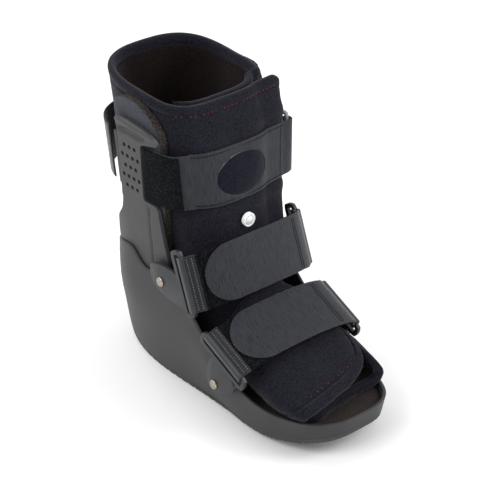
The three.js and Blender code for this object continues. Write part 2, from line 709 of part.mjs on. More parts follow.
// A piece drawn in (y, z) reaches this far to the side.
const SIDE_FROM = 0.18 * CALF_WIDTH;
const SIDE_TO = CALF_WIDTH;

// Pads, the left one's front edge is behind the calf flap's free edge. edge and root are how far ahead of the
// leg's axis its front edge is above and below.
function padSolid(edge, root) {
  const corners = legPlaces([
    { ahead: -0.377, height: 0.936 },
    { ahead: 0.038, height: 0.957 },
    { ahead: 0.377, height: 0.95 },
    { ahead: edge, height: 0.879 },
    { ahead: edge, height: 0.654 },
    { ahead: root, height: 0.446 },
    { ahead: 0.566, height: 0.329 },
    { ahead: -0.453, height: 0.329 },
  ]);
  const outline = solid(sideExtrude(roundedOutline(corners, 12), SIDE_FROM, SIDE_TO, 3));
  const slabLow = 0.3 * BOOT_HEIGHT;
  const slabHigh = 0.9714 * BOOT_HEIGHT;
  return largest(solid(sideSlab(LOOSE, PAD_OUT, slabLow, slabHigh)).intersect(outline).subtract(shellRoom));
}

add("pad_left", meshOf(padSolid(0.604, 0.566)), "foam");
add("pad_right", meshOf(mirrored(padSolid(0.755, 0.679))), "foam");

// Uprights
const STEM = 0.095; // how far ahead of the leg's axis the stem's middle is, as in the tables
const uprightCorners = legPlaces([
  { ahead: 0.811, height: 0.843 },
  { ahead: 0.717, height: 0.868 },
  { ahead: 0.491, height: 0.882 },
  { ahead: 0.208, height: 0.889 },
  { ahead: -0.075, height: 0.889 },
  { ahead: -0.245, height: 0.882 },
  { ahead: -0.226, height: 0.843 },
  { ahead: -0.198, height: 0.818 },
  { ahead: -0.198, height: 0.6 },
  { ahead: -0.264, height: 0.557 },
  { ahead: -0.453, height: 0.514 },
  { ahead: -0.547, height: 0.45 },
  { ahead: -0.566, height: 0.3 },
  { ahead: 0.755, height: 0.3 },
  { ahead: 0.821, height: 0.443 },
  { ahead: 0.717, height: 0.621 },
  { ahead: 0.623, height: 0.632 },
  { ahead: 0.368, height: 0.632 },
  { ahead: 0.387, height: 0.825 },
]);
const stemHoles = [];
for (let row = 0; row < HOLE_ROWS; row++) {
  const count = row % 2 ? 4 : 3;
  for (let k = 0; k < count; k++) {
    const y = LEG_Y - (STEM * CALF_DEPTH) / 2 + (k - (count - 1) / 2) * HOLE_PITCH;
    const z = 0.656 * BOOT_HEIGHT + row * HOLE_ROW_PITCH;
    stemHoles.push(solid(pin(HOLE / 2, SIDE_FROM, SIDE_TO, y, z, 6)));
  }
}
const uprightSolid = solid(sideSlab(BAND_OUT + GAP, UPRIGHT_OUT, 0.286 * BOOT_HEIGHT, 0.9 * BOOT_HEIGHT))
  .intersect(solid(sideExtrude(roundedOutline(uprightCorners, 4), SIDE_FROM, SIDE_TO, 2)))
  .subtract(union(stemHoles));
addPair("upright", largest(uprightSolid.subtract(shellRoom)), "shell");

// Straps
// Rows of points along a strap, one row for each place across it, thickened to both sides.
function ribbon(rows, across, thickness) {
  const side = new THREE.Vector3(...across).normalize();
  const surface = (offset) => (i, j) => {
    const row = rows[j];
    const before = new THREE.Vector3(...row[Math.max(0, i - 1)]);
    const after = new THREE.Vector3(...row[Math.min(row.length - 1, i + 1)]);
    const out = after.sub(before).cross(side).normalize();
    return new THREE.Vector3(...row[i]).addScaledVector(out, offset).toArray();
  };
  const us = rows[0].map((_, i) => i);
  return wall(us, rows.map((_, j) => j), surface(-thickness / 2), surface(thickness / 2));
}

// Calf straps, level round the leg
const CALF_STRAP = { low: 0.6375 * BOOT_HEIGHT, high: 0.6375 * BOOT_HEIGHT + STRAP_WIDTH };
const strapZ = (CALF_STRAP.low + CALF_STRAP.high) / 2;
const RING_WIRE = 3;
const RING_SPAN = 11.5; // between the middles of its two upright bars, which are beside the calf
const ringFront = LEG_Y - 0.514 * CALF_DEPTH;
const CALF_RING = { x: legHalf(strapZ) + BAND_OUT + 3.35, front: ringFront, back: ringFront + RING_SPAN };
const bandMiddle = BAND_OUT - WEBBING / 2;
const strapMiddle = GAP + WEBBING / 2;
const between = (share) => lerp(strapMiddle, bandMiddle, share);
const LAYER = WEBBING + GAP;

// Rows of a path round the leg. A step is [angle, out] on the leg, or a plain [x, y] after the word "at".
function calfRows(path, place) {
  return [CALF_STRAP.low, strapZ, CALF_STRAP.high].map((z) =>
    path.map((step) => (step[0] === "at" ? [step[1], step[2], z] : place(step[0], z, step[1]))),
  );
}

// The webbing's way round a bar of the calf ring. turn is 1 round its back and -1 round its front.
function ringWrap(y, turn) {
  const reach = RING_WIRE / 2 + GAP + WEBBING / 2;
  return steps(0, 180, 6).map((a) => {
    const c = Math.cos(deg(a));
    return [
      "at",
      CALF_RING.x + reach * Math.sign(c) * Math.sqrt(Math.abs(c)),
      y + turn * reach * Math.sqrt(Math.max(0, Math.sin(deg(a)))),
    ];
  });
}

const bandPath = [
  ...steps(200, 378, 17).map((a) => [a, bandMiddle]),
  ["at", CALF_RING.x - 4, CALF_RING.back + 4],
  ...ringWrap(CALF_RING.back, -1).reverse(),
  ["at", CALF_RING.x + 2.4, CALF_RING.back + 3.5],
];
const CALF_NORMAL = [0, 0, 1];
add("calf_band", ribbon(calfRows(bandPath, legPoint), CALF_NORMAL, WEBBING), "webbing");

const frontPath = [
  ...[192, 184, 176, 168, 160].map((a) => [a, bandMiddle]),
  ...[[152, 0.935], [147, 0.91], [142, 0.662], [137, 0.416], [131, 0.18]].map(([a, s]) => [a, between(s)]),
  ...LEG_ANGLES.filter((a) => a > 38 && a < 130).reverse().map((a) => [a, strapMiddle]),
  ["at", CALF_RING.x - 1.4, CALF_RING.front - 6.3], ["at", CALF_RING.x + 2.3, CALF_RING.front - 4.1],
  ...ringWrap(CALF_RING.front, 1),
];
const WINDOW = { x: 4, z: strapZ - 2, half: 27, tall: 18.5 }; // oval window in the calf strap
const flapFront = (z) => legPoint(90, z)[1];
const windowCut = new THREE.CylinderGeometry(1, 1, 80, 18);
windowCut.scale(WINDOW.half, 1, WINDOW.tall);
windowCut.translate(WINDOW.x, flapFront(WINDOW.z) - 8, WINDOW.z);
const calfStrap = solid(ribbon(calfRows(frontPath, flapPoint), CALF_NORMAL, WEBBING));
add("calf_strap", meshOf(largest(calfStrap.subtract(solid(windowCut)))), "webbing");

const HOOK_SHARES = [[173, 1], [167, 1], [160, 1], [152, 0.96], [146, 0.91], [141, 0.67]];
const hookPath = HOOK_SHARES.map(([angle, share]) => [angle, between(share) + LAYER]);
add("calf_hook", ribbon(calfRows(hookPath, legPoint), CALF_NORMAL, WEBBING), "hook");

function frameShape(width, height, wire) {
  const rect = (w, h) => [[-w / 2, -h / 2], [w / 2, -h / 2], [w / 2, h / 2], [-w / 2, h / 2]];
  const shape = roundedOutline(rect(width, height), wire * 1.2);
  shape.holes.push(roundedOutline(rect(width - 2 * wire, height - 2 * wire), 1));
  return shape;
}

const ringShape = frameShape(RING_SPAN + RING_WIRE, STRAP_WIDTH + 2 * RING_WIRE + 3, RING_WIRE);
const ring = sideExtrude(ringShape, CALF_RING.x - RING_WIRE / 2, CALF_RING.x + RING_WIRE / 2, 2);
ring.translate(0, (CALF_RING.front + CALF_RING.back) / 2, strapZ);
add("calf_ring", ring, "ring");

// Pump dome in the window, and the air valve below it
const calfFlapGrown = solid(wall(
  flapAngles,
  flapLevels,
  (a, z) => flapPoint(a, z, -FLAP - 30),
  (a, z) => flapPoint(a, z, GAP),
));
const DOME = { depth: 10, sink: 2, margin: 1.5 }; // margin is its clearance in the window
const dome = new THREE.SphereGeometry(1, 18, 8);
dome.scale(WINDOW.half - DOME.margin, DOME.depth, WINDOW.tall - DOME.margin);
dome.translate(WINDOW.x, flapFront(WINDOW.z) + DOME.sink, WINDOW.z);
add("pump_dome", meshOf(largest(solid(dome).subtract(calfFlapGrown))), "liner");

const VALVE = { x: 2.5, z: 0.573 * BOOT_HEIGHT, radius: 6.4, proud: 3.7 };
const valve = new THREE.CylinderGeometry(VALVE.radius, VALVE.radius, 6, 20);
valve.translate(VALVE.x, flapFront(VALVE.z) - VALVE.proud + 3, VALVE.z);
add("air_valve", meshOf(largest(solid(valve).subtract(calfFlapGrown))), "valve");

// Straps over the foot, in a plane through both bars
const ARCH_SQUARE = 2.2;
const ARCH_LAYER = LAYER + 0.2;
const BAR_AHEAD = SLOT_WIDTH / 2 + BAR / 2;
const WRAP_SIDE = TAB_WALL / 2 + GAP + WEBBING / 2;
const WRAP_BACK = BAR / 2 + GAP + WEBBING / 2;

// The middle line of a strap over the foot at an angle from the right bar, as [x, ahead].
function archPlace(tab, angle, lift) {
  const power = 2 / ARCH_SQUARE;
  const c = Math.cos(deg(angle));
  const half = tab.out + TAB_WALL / 2 - WRAP_SIDE + lift;
  const x = -half * Math.sign(c) * Math.abs(c) ** power;
  return [x, BAR_AHEAD + (tab.rise + lift) * Math.max(0, Math.sin(deg(angle))) ** power];
}

// The webbing's way round a tab's bar, from the inside to the outside. side is -1 on the wearer's right.
function barWrap(tab, side) {
  const bar = tab.out + TAB_WALL / 2;
  const places = steps(180, 360, 6).map((a) => {
    const c = Math.cos(deg(a));
    const s = Math.min(0, Math.sin(deg(a)));
    const x = bar + WRAP_SIDE * Math.sign(c) * Math.sqrt(Math.abs(c));
    return [side * x, BAR_AHEAD - WRAP_BACK * Math.sqrt(-s)];
  });
  places.push([side * (bar + WRAP_SIDE), BAR_AHEAD + BAR / 2 + 0.8]);
  return places;
}

function archStrap(tab, path, halfWidthAt) {
  const rows = [-1, 0, 1].map((share) =>
    path.map(([x, ahead], i) => {
      const arch = 1 - (x / tab.out) ** 2;
      const [y, z] = tabPlace(tab, share * halfWidthAt(i) - tab.shift * arch, ahead);
      return [x, y, z];
    }),
  );
  return ribbon(rows, [0, -Math.sin(deg(tab.tilt)), -Math.cos(deg(tab.tilt))], WEBBING);
}

function addArchStraps(name, tab, tip) {
  const tail = [tip - 3, tip - 9, 17].map((a) => archPlace(tab, a, ARCH_LAYER));
  const under = steps(7, 152, 13).map((a) => archPlace(tab, a, 0));
  const basePath = [...tail, ...barWrap(tab, -1).reverse(), ...under];
  add(`${name}_strap_base`, archStrap(tab, basePath, () => STRAP_WIDTH / 2), "webbing");
  const over = [0, 0.8, 2.4, 5, 9, 14].map((a) => archPlace(tab, tip + a, ARCH_LAYER));
  const rest = steps(tip + 22, 163, 10).map((a) => archPlace(tab, a, ARCH_LAYER));
  const turn = [173, 166, 160].map((a) => archPlace(tab, a, 0));
  const wrap = barWrap(tab, 1).reverse();
  const path = [...over, ...rest, ...wrap, ...turn];
  const lengths = [0];
  for (let i = 1; i < path.length; i++) {
    lengths.push(lengths[i - 1] + Math.hypot(path[i][0] - path[i - 1][0], path[i][1] - path[i - 1][1]));
  }
  const r = STRAP_WIDTH / 2;
  const halfWidth = (i) => (lengths[i] < r ? Math.sqrt(r * r - (r - Math.max(0.7, lengths[i])) ** 2) : r);
  add(`${name}_strap`, archStrap(tab, path, halfWidth), "webbing");
}

addArchStraps("ankle", ANKLE, 33);
addArchStraps("forefoot", FOREFOOT, 30);

export default boot;
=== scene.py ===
import math

import bmesh
import bpy
import numpy as np
from mathutils import Matrix, Vector, noise


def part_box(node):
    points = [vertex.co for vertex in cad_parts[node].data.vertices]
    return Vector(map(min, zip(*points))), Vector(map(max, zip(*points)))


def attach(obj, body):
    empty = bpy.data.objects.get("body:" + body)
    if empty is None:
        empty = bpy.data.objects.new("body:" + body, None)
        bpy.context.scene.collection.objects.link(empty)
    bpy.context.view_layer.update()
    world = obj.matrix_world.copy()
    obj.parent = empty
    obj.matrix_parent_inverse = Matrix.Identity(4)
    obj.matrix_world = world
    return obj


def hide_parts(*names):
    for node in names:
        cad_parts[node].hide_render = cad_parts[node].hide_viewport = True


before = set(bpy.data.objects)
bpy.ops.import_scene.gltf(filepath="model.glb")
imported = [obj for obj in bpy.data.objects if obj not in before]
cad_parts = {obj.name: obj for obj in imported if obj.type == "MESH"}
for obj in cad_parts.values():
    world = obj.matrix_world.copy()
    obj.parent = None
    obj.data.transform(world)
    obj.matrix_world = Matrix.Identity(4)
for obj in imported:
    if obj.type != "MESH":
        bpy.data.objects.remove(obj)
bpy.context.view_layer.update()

MM = 0.001

# Sizes of the boot, in millimetres, as in the frame
SOLE_LENGTH = 290
TOE_Y = -138
TOE_OUT = 5
SOLE_WIDTH = 122
BOOT_HEIGHT = 280
RIM_DROP = 14
LEG_Y = 86
CALF_WIDTH = 112
CALF_DEPTH = 106
SHELL_HEIGHT = 125
FLOOR_TOP = 24
TREAD = 5
TOE_SPRING = 19
HEEL_SPRING = 12
FOOTBED = 5
LINER_WALL = 6.5
GAP = 0.35
LOOSE = 0.7
FLAP = 7
PAD = 7
UPRIGHT_WALL = 2.6
SHELL_WALL = 2.6
TAB_WALL = 3
WEBBING = 1.7
STRAP_WIDTH = 50
SLOT_WIDTH = 6
BAR = 4
RIVET_HEAD = 9
HOLE = 2.8
HOLE_PITCH = 7
LINER_BOTTOM = FLOOR_TOP + GAP + FOOTBED + GAP
PAD_OUT = LOOSE + PAD
BAND_OUT = PAD_OUT + GAP + WEBBING
UPRIGHT_OUT = BAND_OUT + GAP + UPRIGHT_WALL
EAR_OUT = UPRIGHT_OUT + GAP + SHELL_WALL
LAYER = WEBBING + GAP

# Camera: the photo's angle and framing
VIEW_AZIMUTH = -40
VIEW_ELEVATION = 30
VIEW_DISTANCE = 1500
VIEW_TARGET = (6.56, 23.16, 131.49)
SENSOR = 36
LENS = 129.9
# Studio: how bright the surroundings are, and each lamp's place and size in metres and power
WORLD_LIGHT = 0.78
LAMPS = (
    ("left", (-1.4, 0.1, 1.5), 1.0, 14.5),
    ("right", (1.2, -1.1, 1.2), 0.9, 19),
    ("back", (-0.2, 1.4, 1.5), 1.0, 14),
)


def clamp01(t):
    return min(1.0, max(0.0, t))


def lerp(a, b, t):
    return a + (b - a) * t


def smooth(a, b, t):
    s = clamp01((t - a) / (b - a))
    return s * s * (3 - 2 * s)


def bell(t, middle, width):
    return math.exp(-(((t - middle) / width) ** 2))


def swing(angle):
    """Cosine and sine of an angle in degrees."""
    return math.cos(math.radians(angle)), math.sin(math.radians(angle))


def signed(value, power):
    """A power of a number that keeps its sign."""
    return math.copysign(abs(value) ** power, value)


def oval(share, square):
    """Half the width of a squarish oval, at a share of the way from its middle to its end."""
    return (1 - share**square) ** (1 / square)


def hermite(a, slope_a, b, slope_b, t):
    """A smooth curve from a to b, with its slopes there over the whole span."""
    t2, t3 = t * t, t * t * t
    rise = 3 * t2 - 2 * t3
    return (1 - rise) * a + (t3 - 2 * t2 + t) * slope_a + rise * b + (t3 - t2) * slope_b


def curved(rows, key, at, column):
    """A table's column at a place, on a smooth curve through its rows."""
    if at <= rows[0][key]:
        return rows[0][column]
    if at >= rows[-1][key]:
        return rows[-1][column]
    i = next(k for k in range(1, len(rows)) if at <= rows[k][key])
    before, a, b, after = rows[max(0, i - 2)], rows[i - 1], rows[i], rows[min(len(rows) - 1, i + 1)]
    span = b[key] - a[key]
    slope_a = (b[column] - before[column]) / (b[key] - before[key]) * span
    slope_b = (after[column] - a[column]) / (after[key] - a[key]) * span
    return hermite(a[column], slope_a, b[column], slope_b, (at - a[key]) / span)


def table(columns, *rows):
    """Rows of numbers with named columns."""
    return [dict(zip(columns.split(), row)) for row in rows]


# Leg surface: the outside of the wrapped liner. height is a share of BOOT_HEIGHT, half of CALF_WIDTH / 2,
# front and back of CALF_DEPTH / 2. corner and heel are how square the front and the back are.
LEG = table(
    "height half front back corner heel",
    (0.105, 0.62, 1.2, 0.95, 2.2, 2.2),
    (0.16, 0.74, 1.5, 1.08, 2.2, 2.2),
    (0.25, 0.79, 1.76, 1.12, 2.2, 2.2),
    (0.34, 0.8, 1.95, 1.07, 2.2, 2.2),
    (0.4, 0.81, 1.92, 1.02, 2.3, 2.2),
    (0.47, 0.84, 1.74, 1.0, 2.6, 2.3),
    (0.54, 0.88, 1.52, 1.02, 2.9, 2.4),
    (0.62, 0.91, 1.36, 1.06, 3.2, 2.5),
    (0.72, 0.94, 1.28, 1.1, 3.4, 2.6),
    (0.82, 0.965, 1.22, 1.15, 3.6, 2.7),
    (0.91, 1.0, 1.06, 1.19, 3.8, 2.8),
    (1.0, 1.06, 0.9, 1.22, 4.0, 2.9),
)


def leg_row(z, column):
    return curved(LEG, "height", z / BOOT_HEIGHT, column)


def leg_half(z):
    return leg_row(z, "half") * CALF_WIDTH / 2


def rim_at(angle):
    return BOOT_HEIGHT - RIM_DROP * (0.5 + 0.5 * math.sin(math.radians(angle)))


def leg_point(angle, z, offset=0):
    """A place on the leg surface. Angle 0 is the wearer's left, 90 the front and 180 the right."""
    c, s = swing(angle)
    reach = leg_row(z, "front" if s > 0 else "back") * CALF_DEPTH / 2 + offset
    power = 2 / leg_row(z, "corner" if s > 0 else "heel")
    return (leg_half(z) + offset) * signed(c, power), LEG_Y - reach * signed(s, power), z


def leg_side(y, z, offset):
    """How far the leg surface is from the middle plane at a place beside the leg."""
    ahead = y < LEG_Y
    reach = leg_row(z, "front" if ahead else "back") * CALF_DEPTH / 2 + offset
    square = leg_row(z, "corner" if ahead else "heel")
    return (leg_half(z) + offset) * oval(min(0.98, abs(y - LEG_Y) / reach), square)


def foot_at(along):
    return TOE_Y + along * SOLE_LENGTH


def toe_out(along):
    return TOE_OUT * clamp01(1 - along / 0.6) ** 1.3


# Meshes and pieces
def added(name, data):
    """A new object in the scene, of a mesh, camera or lamp, or of a bmesh that it uses up."""
    if isinstance(data, bmesh.types.BMesh):
        bm, data = data, bpy.data.meshes.new(name)
        bm.to_mesh(data)
        bm.free()
    thing = bpy.data.objects.new(name, data)
    bpy.context.scene.collection.objects.link(thing)
    return thing


def placed(bm, name, material, nodes=(), smooth_angle=40):
    """A finished piece of a bmesh in metres, with its material and the CAD nodes it stands for."""
    piece = added(name, bm)
    for one in material if isinstance(material, list) else [material]:
        piece.data.materials.append(one)
    shade(piece, smooth_angle)
    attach(piece, "root")
    if nodes:
        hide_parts(*nodes)
    return piece


def shade(piece, angle):
    """Smooth shading, with edges sharper than the angle left crisp."""
    for polygon in piece.data.polygons:
        polygon.use_smooth = True
    if angle < 180:
        piece.data.set_sharp_from_angle(angle=math.radians(angle))


def apply_modifiers(piece):
    """Takes what the modifiers make as the piece's own mesh."""
    graph = bpy.context.evaluated_depsgraph_get()
    made = bpy.data.meshes.new_from_object(
        piece.evaluated_get(graph), preserve_all_data_layers=True, depsgraph=graph)
    piece.modifiers.clear()
    old = piece.data
    made.name = old.name
    piece.data = made
    bpy.data.meshes.remove(old)


def modify(piece, kind, **settings):
    modifier = piece.modifiers.new(kind.lower(), kind)
    for name, value in settings.items():
        setattr(modifier, name, value)


def copied(*nodes):
    """A bmesh with the merged solids of some CAD nodes."""
    bm = bmesh.new()
    for name in nodes:
        bm.from_mesh(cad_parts[name].data)
    bmesh.ops.remove_doubles(bm, verts=bm.verts, dist=1e-6)
    return bm


SQUARE = 0.02  # a border this narrow closes a panel with a flat end


def crowd(edge):
    """Places from 0 to edge, closer together where a round edge is steepest."""
    return [0.0, SQUARE] if edge == 0 else [edge * (1 - swing(a)[0]) for a in (0, 25, 50, 70, 90)]


def spread(length, step, start_edge, end_edge=None):
    """Places from 0 to length, crowded at the ends for a round border, or a square one with edge 0."""
    first = crowd(start_edge)
    last = crowd(start_edge if end_edge is None else end_edge)
    inner = length - first[-1] - last[-1]
    count = max(1, round(inner / step))
    middle = [first[-1] + inner * k / count for k in range(1, count)]
    return first + middle + [length - place for place in reversed(last)]


def round_edge(distance, radius):
    """Half the thickness of a panel with a round edge, at a distance from that edge."""
    d = min(distance, radius)
    return math.sqrt(max(0.0, radius * radius - (radius - d) ** 2))


def panel(us, vs, place, back=None):
    """A closed padded or woven panel: a front and a back grid over us and vs that meet at the border.
    place(u, v) gives the middle point, the direction out and half the thickness, in millimetres.
    Its UV map holds u and v in metres. back(u, v) gives the material of the inner side."""
    bm = bmesh.new()
    uv = bm.loops.layers.uv.new("cloth")
    nu, nv = len(us) - 1, len(vs) - 1
    spots = [[place(u, v) for v in vs] for u in us]
    for side in (1, -1):
        made = bmesh.ops.create_grid(bm, x_segments=nu, y_segments=nv, size=1)["verts"]
        at = {vert: (round((vert.co.x + 1) / 2 * nu), round((vert.co.y + 1) / 2 * nv)) for vert in made}
        faces = {face for vert in made for face in vert.link_faces}
        for face in faces:
            for loop in face.loops:
                i, j = at[loop.vert]
                loop[uv].uv = (us[i] * MM, vs[j] * MM)
            if side == -1 and back:
                face.material_index = back(us[i], vs[j])
        for vert, (i, j) in at.items():
            middle, out, half = spots[i][j]
            vert.co = (Vector(middle) + Vector(out) * (side * half)) * MM
        if side == -1:
            bmesh.ops.reverse_faces(bm, faces=list(faces))
    bmesh.ops.remove_doubles(bm, verts=bm.verts, dist=2e-6)
    bmesh.ops.recalc_face_normals(bm, faces=bm.faces)
    return bm


def remeshed(bm, voxel, rounds):
    """A soft version of a solid: even small quads, with its edges rounded off by smoothing."""
    piece = added("soft", bm)
    modify(piece, "REMESH", mode="VOXEL", voxel_size=voxel * MM, adaptivity=0)
    modify(piece, "SMOOTH", factor=0.5, iterations=rounds)
    apply_modifiers(piece)
    soft = bmesh.new()
    soft.from_mesh(piece.data)
    bpy.data.meshes.remove(piece.data)
    return soft


def uneven(bm, height, size):
    """Moves each point along its normal by a soft noise of a height and size in millimetres."""
    bm.normal_update()
    moves = [(v, v.normal * (height * wobble(*(v.co / MM), size)) * MM) for v in bm.verts]
    for vert, move in moves:
        vert.co += move


def wobble(x, y, z, size):
    return noise.noise(Vector((x, y, z)) / size)


def stitches(name, spots, length, radius, material):
    """Short rounded stitches, each at a point and along a direction, joined in one piece."""
    bm = bmesh.new()
    for point, along in spots:
        turn = Vector(along).to_track_quat("Z", "Y").to_matrix().to_4x4()
        size = Matrix.Diagonal((radius * MM, radius * MM, length * MM, 1))
        matrix = Matrix.Translation(Vector(point) * MM) @ turn @ size
        bmesh.ops.create_icosphere(bm, subdivisions=1, radius=1, matrix=matrix)
    return placed(bm, name, material, (), 180)


# Materials
def linear(code):
    """A linear colour of an sRGB hex value."""
    parts = [int(code[i : i + 2], 16) / 255 for i in (1, 3, 5)]
    return (*(p / 12.92 if p <= 0.04045 else ((p + 0.055) / 1.055) ** 2.4 for p in parts), 1)


def node(tree, kind, inputs=None, stops=(), **settings):
    """Adds a node with its settings. inputs gives a socket a value, an output to link, or a node whose first
    output it takes, and stops gives a colour ramp its places and colours."""
    made = tree.nodes.new(kind)
    for name, value in settings.items():
        setattr(made, name, value)
    for key, value in (inputs or {}).items():
        if isinstance(value, bpy.types.Node):
            value = value.outputs[0]
        if isinstance(value, bpy.types.NodeSocket):
            tree.links.new(value, made.inputs[key])
        else:
            made.inputs[key].default_value = value
    for k, (place, code) in enumerate(stops):
        elements = made.color_ramp.elements
        stop = elements[k] if k < 2 else elements.new(place)
        stop.position = place
        stop.color = linear(code)
    return made


def surface(name):
    """A new material, its node tree and the places on a piece that its patterns read."""
    material = bpy.data.materials.new(name)
    material.use_nodes = True
    tree = material.node_tree
    tree.nodes.clear()
    return material, tree, node(tree, "ShaderNodeTexCoord").outputs["Object"]


def coat(material, inputs):
    """Gives a material its shader, with constants and links."""
    shader = node(material.node_tree, "ShaderNodeBsdfPrincipled", inputs)
    node(material.node_tree, "ShaderNodeOutputMaterial", {"Surface": shader})
    return material


def per_mm(size):
    """The scale of a pattern whose grain has this size in millimetres."""
    return 1 / (size * MM)


WAVE_BANDS = 3.18  # bands that a wave texture of scale 1 has in a metre


def loop_cloth(name, deep, lit):
    """Brushed loop cloth over foam: short soft fibres that scatter light and show as fine grain.
    The loops are about 0.5 mm across, and are drawn coarser to show."""
    material, tree, where = surface(name)
    fibre = node(tree, "ShaderNodeTexNoise",
        {"Vector": where, "Scale": per_mm(1.4), "Detail": 3, "Roughness": 0.8})
    patch = node(tree, "ShaderNodeTexNoise",
        {"Vector": where, "Scale": per_mm(14), "Detail": 2, "Roughness": 0.6})
    mix = node(tree, "ShaderNodeMix", {"Factor": 0.1, "A": fibre, "B": patch}, data_type="FLOAT")
    colour = node(tree, "ShaderNodeValToRGB", {"Fac": mix}, ((0.34, deep), (0.66, lit)))
    bump = node(tree, "ShaderNodeBump", {"Height": fibre, "Strength": 1, "Distance": 0.7 * MM})
    return coat(material, {
        "Base Color": colour, "Normal": bump, "Roughness": 0.95, "Specular IOR Level": 0.08,
        "Sheen Weight": 0.16, "Sheen Roughness": 0.35})


def webbing_cloth(name, deep, lit, pitch=0.9, ribs=0.1):
    """Woven nylon webbing: fine ribs across the strap that catch the light, with a brushed, streaky face."""
    material, tree, _ = surface(name)
    uv = node(tree, "ShaderNodeUVMap", uv_map="cloth")
    rib = node(tree, "ShaderNodeTexWave",
        {"Vector": uv, "Scale": per_mm(pitch) / WAVE_BANDS, "Distortion": 1.2, "Detail": 1,
         "Detail Scale": 2}, wave_type="BANDS", bands_direction="X").outputs["Fac"]
    stretched = node(tree, "ShaderNodeMapping", {"Vector": uv, "Scale": (1, 0.12, 1)})
    streak = node(tree, "ShaderNodeTexNoise",
        {"Vector": stretched, "Scale": per_mm(1.3), "Detail": 3, "Roughness": 0.7})
    grain = node(tree, "ShaderNodeTexNoise",
        {"Vector": uv, "Scale": per_mm(0.8), "Detail": 2, "Roughness": 0.7})
    both = node(tree, "ShaderNodeMath", {0: streak, 1: grain}, operation="ADD")
    total = node(tree, "ShaderNodeMath", {0: rib, 1: ribs, 2: both}, operation="MULTIPLY_ADD")
    share = node(tree, "ShaderNodeMath", {0: total, 1: 1 + ribs}, operation="DIVIDE")
    colour = node(tree, "ShaderNodeValToRGB", {"Fac": share}, ((0.72, deep), (1, lit)))
    bump = node(tree, "ShaderNodeBump", {"Height": total, "Strength": 0.7, "Distance": 0.25 * MM})
    return coat(material, {
        "Base Color": colour, "Normal": bump, "Roughness": 0.55, "Specular IOR Level": 0.2,
        "Sheen Weight": 0.5, "Sheen Roughness": 0.25})


def hook_tape(name):
    """Hook tape: tiny nylon hooks that read as black speckle, drawn coarser to show, with a painted glint:
    the top of each hook is painted a lighter grey.
    """
    material, tree, where = surface(name)
    hooks = node(tree, "ShaderNodeTexVoronoi", {"Vector": where, "Scale": per_mm(2.2), "Randomness": 0.9})
    # painted glint: light grey at the middle of each hook, over its raised top, and near black between the
    # hooks
    stops = ((0, "#2f3336"), (0.28, "#101214"), (1, "#030404"))
    colour = node(tree, "ShaderNodeValToRGB", {"Fac": hooks}, stops)
    bump = node(tree, "ShaderNodeBump", {"Height": hooks, "Strength": 1, "Distance": 0.6 * MM}, invert=True)
    return coat(material, {
        "Base Color": colour, "Normal": bump, "Roughness": 0.85, "Specular IOR Level": 0.08})


def moulded(name, deep, lit, roughness=0.5, grain_mm=0.5, depth_mm=0.06):
    """Moulded plastic with a fine spark-eroded grain, a little rubbed in places."""
    material, tree, where = surface(name)
    patch = node(tree, "ShaderNodeTexNoise",
        {"Vector": where, "Scale": per_mm(22), "Detail": 3, "Roughness": 0.6})
    grain = node(tree, "ShaderNodeTexNoise",
        {"Vector": where, "Scale": per_mm(grain_mm), "Detail": 2, "Roughness": 0.7})
    colour = node(tree, "ShaderNodeValToRGB", {"Fac": patch}, ((0.3, deep), (0.7, lit)))
    rubbed = node(tree, "ShaderNodeMapRange",
        {"Value": patch, "To Min": roughness - 0.06, "To Max": roughness + 0.08})
    bump = node(tree, "ShaderNodeBump", {"Height": grain, "Strength": 0.6, "Distance": depth_mm * MM})
    return coat(material, {
        "Base Color": colour, "Normal": bump, "Roughness": rubbed, "Specular IOR Level": 0.3})


def cut_foam(name, deep, lit, cell_mm=1.1, depth_mm=0.5):
    """Cut open-cell foam: a speckled, matt edge of small pores."""
    material, tree, where = surface(name)
    cells = node(tree, "ShaderNodeTexVoronoi", {"Vector": where, "Scale": per_mm(cell_mm)})
    grain = node(tree, "ShaderNodeTexNoise",
        {"Vector": where, "Scale": per_mm(0.8), "Detail": 3, "Roughness": 0.7})
    pores = node(tree, "ShaderNodeMath", {0: cells, 1: grain}, operation="MULTIPLY")
    colour = node(tree, "ShaderNodeValToRGB", {"Fac": pores}, ((0.08, deep), (0.42, lit)))
    bump = node(tree, "ShaderNodeBump", {"Height": pores, "Strength": 0.9, "Distance": depth_mm * MM})
    return coat(material, {
        "Base Color": colour, "Normal": bump, "Roughness": 0.95, "Specular IOR Level": 0.2})


def nickel(name):
    """Nickel-plated brass rivet, tumbled: a warm satin metal with faint scratches."""
    material, tree, where = surface(name)
    stain = node(tree, "ShaderNodeTexNoise",
        {"Vector": where, "Scale": per_mm(2.5), "Detail": 4, "Roughness": 0.6})
    scratch = node(tree, "ShaderNodeTexNoise",
        {"Vector": where, "Scale": per_mm(0.5), "Detail": 2, "Roughness": 0.6})
    colour = node(tree, "ShaderNodeValToRGB", {"Fac": stain}, ((0.3, "#8d8477"), (0.7, "#b5aca0")))
    worn = node(tree, "ShaderNodeMapRange", {"Value": stain, "To Min": 0.2, "To Max": 0.42})
    bump = node(tree, "ShaderNodeBump", {"Height": scratch, "Strength": 0.25, "Distance": 0.05 * MM})
    return coat(material, {"Base Color": colour, "Normal": bump, "Roughness": worn, "Metallic": 1})


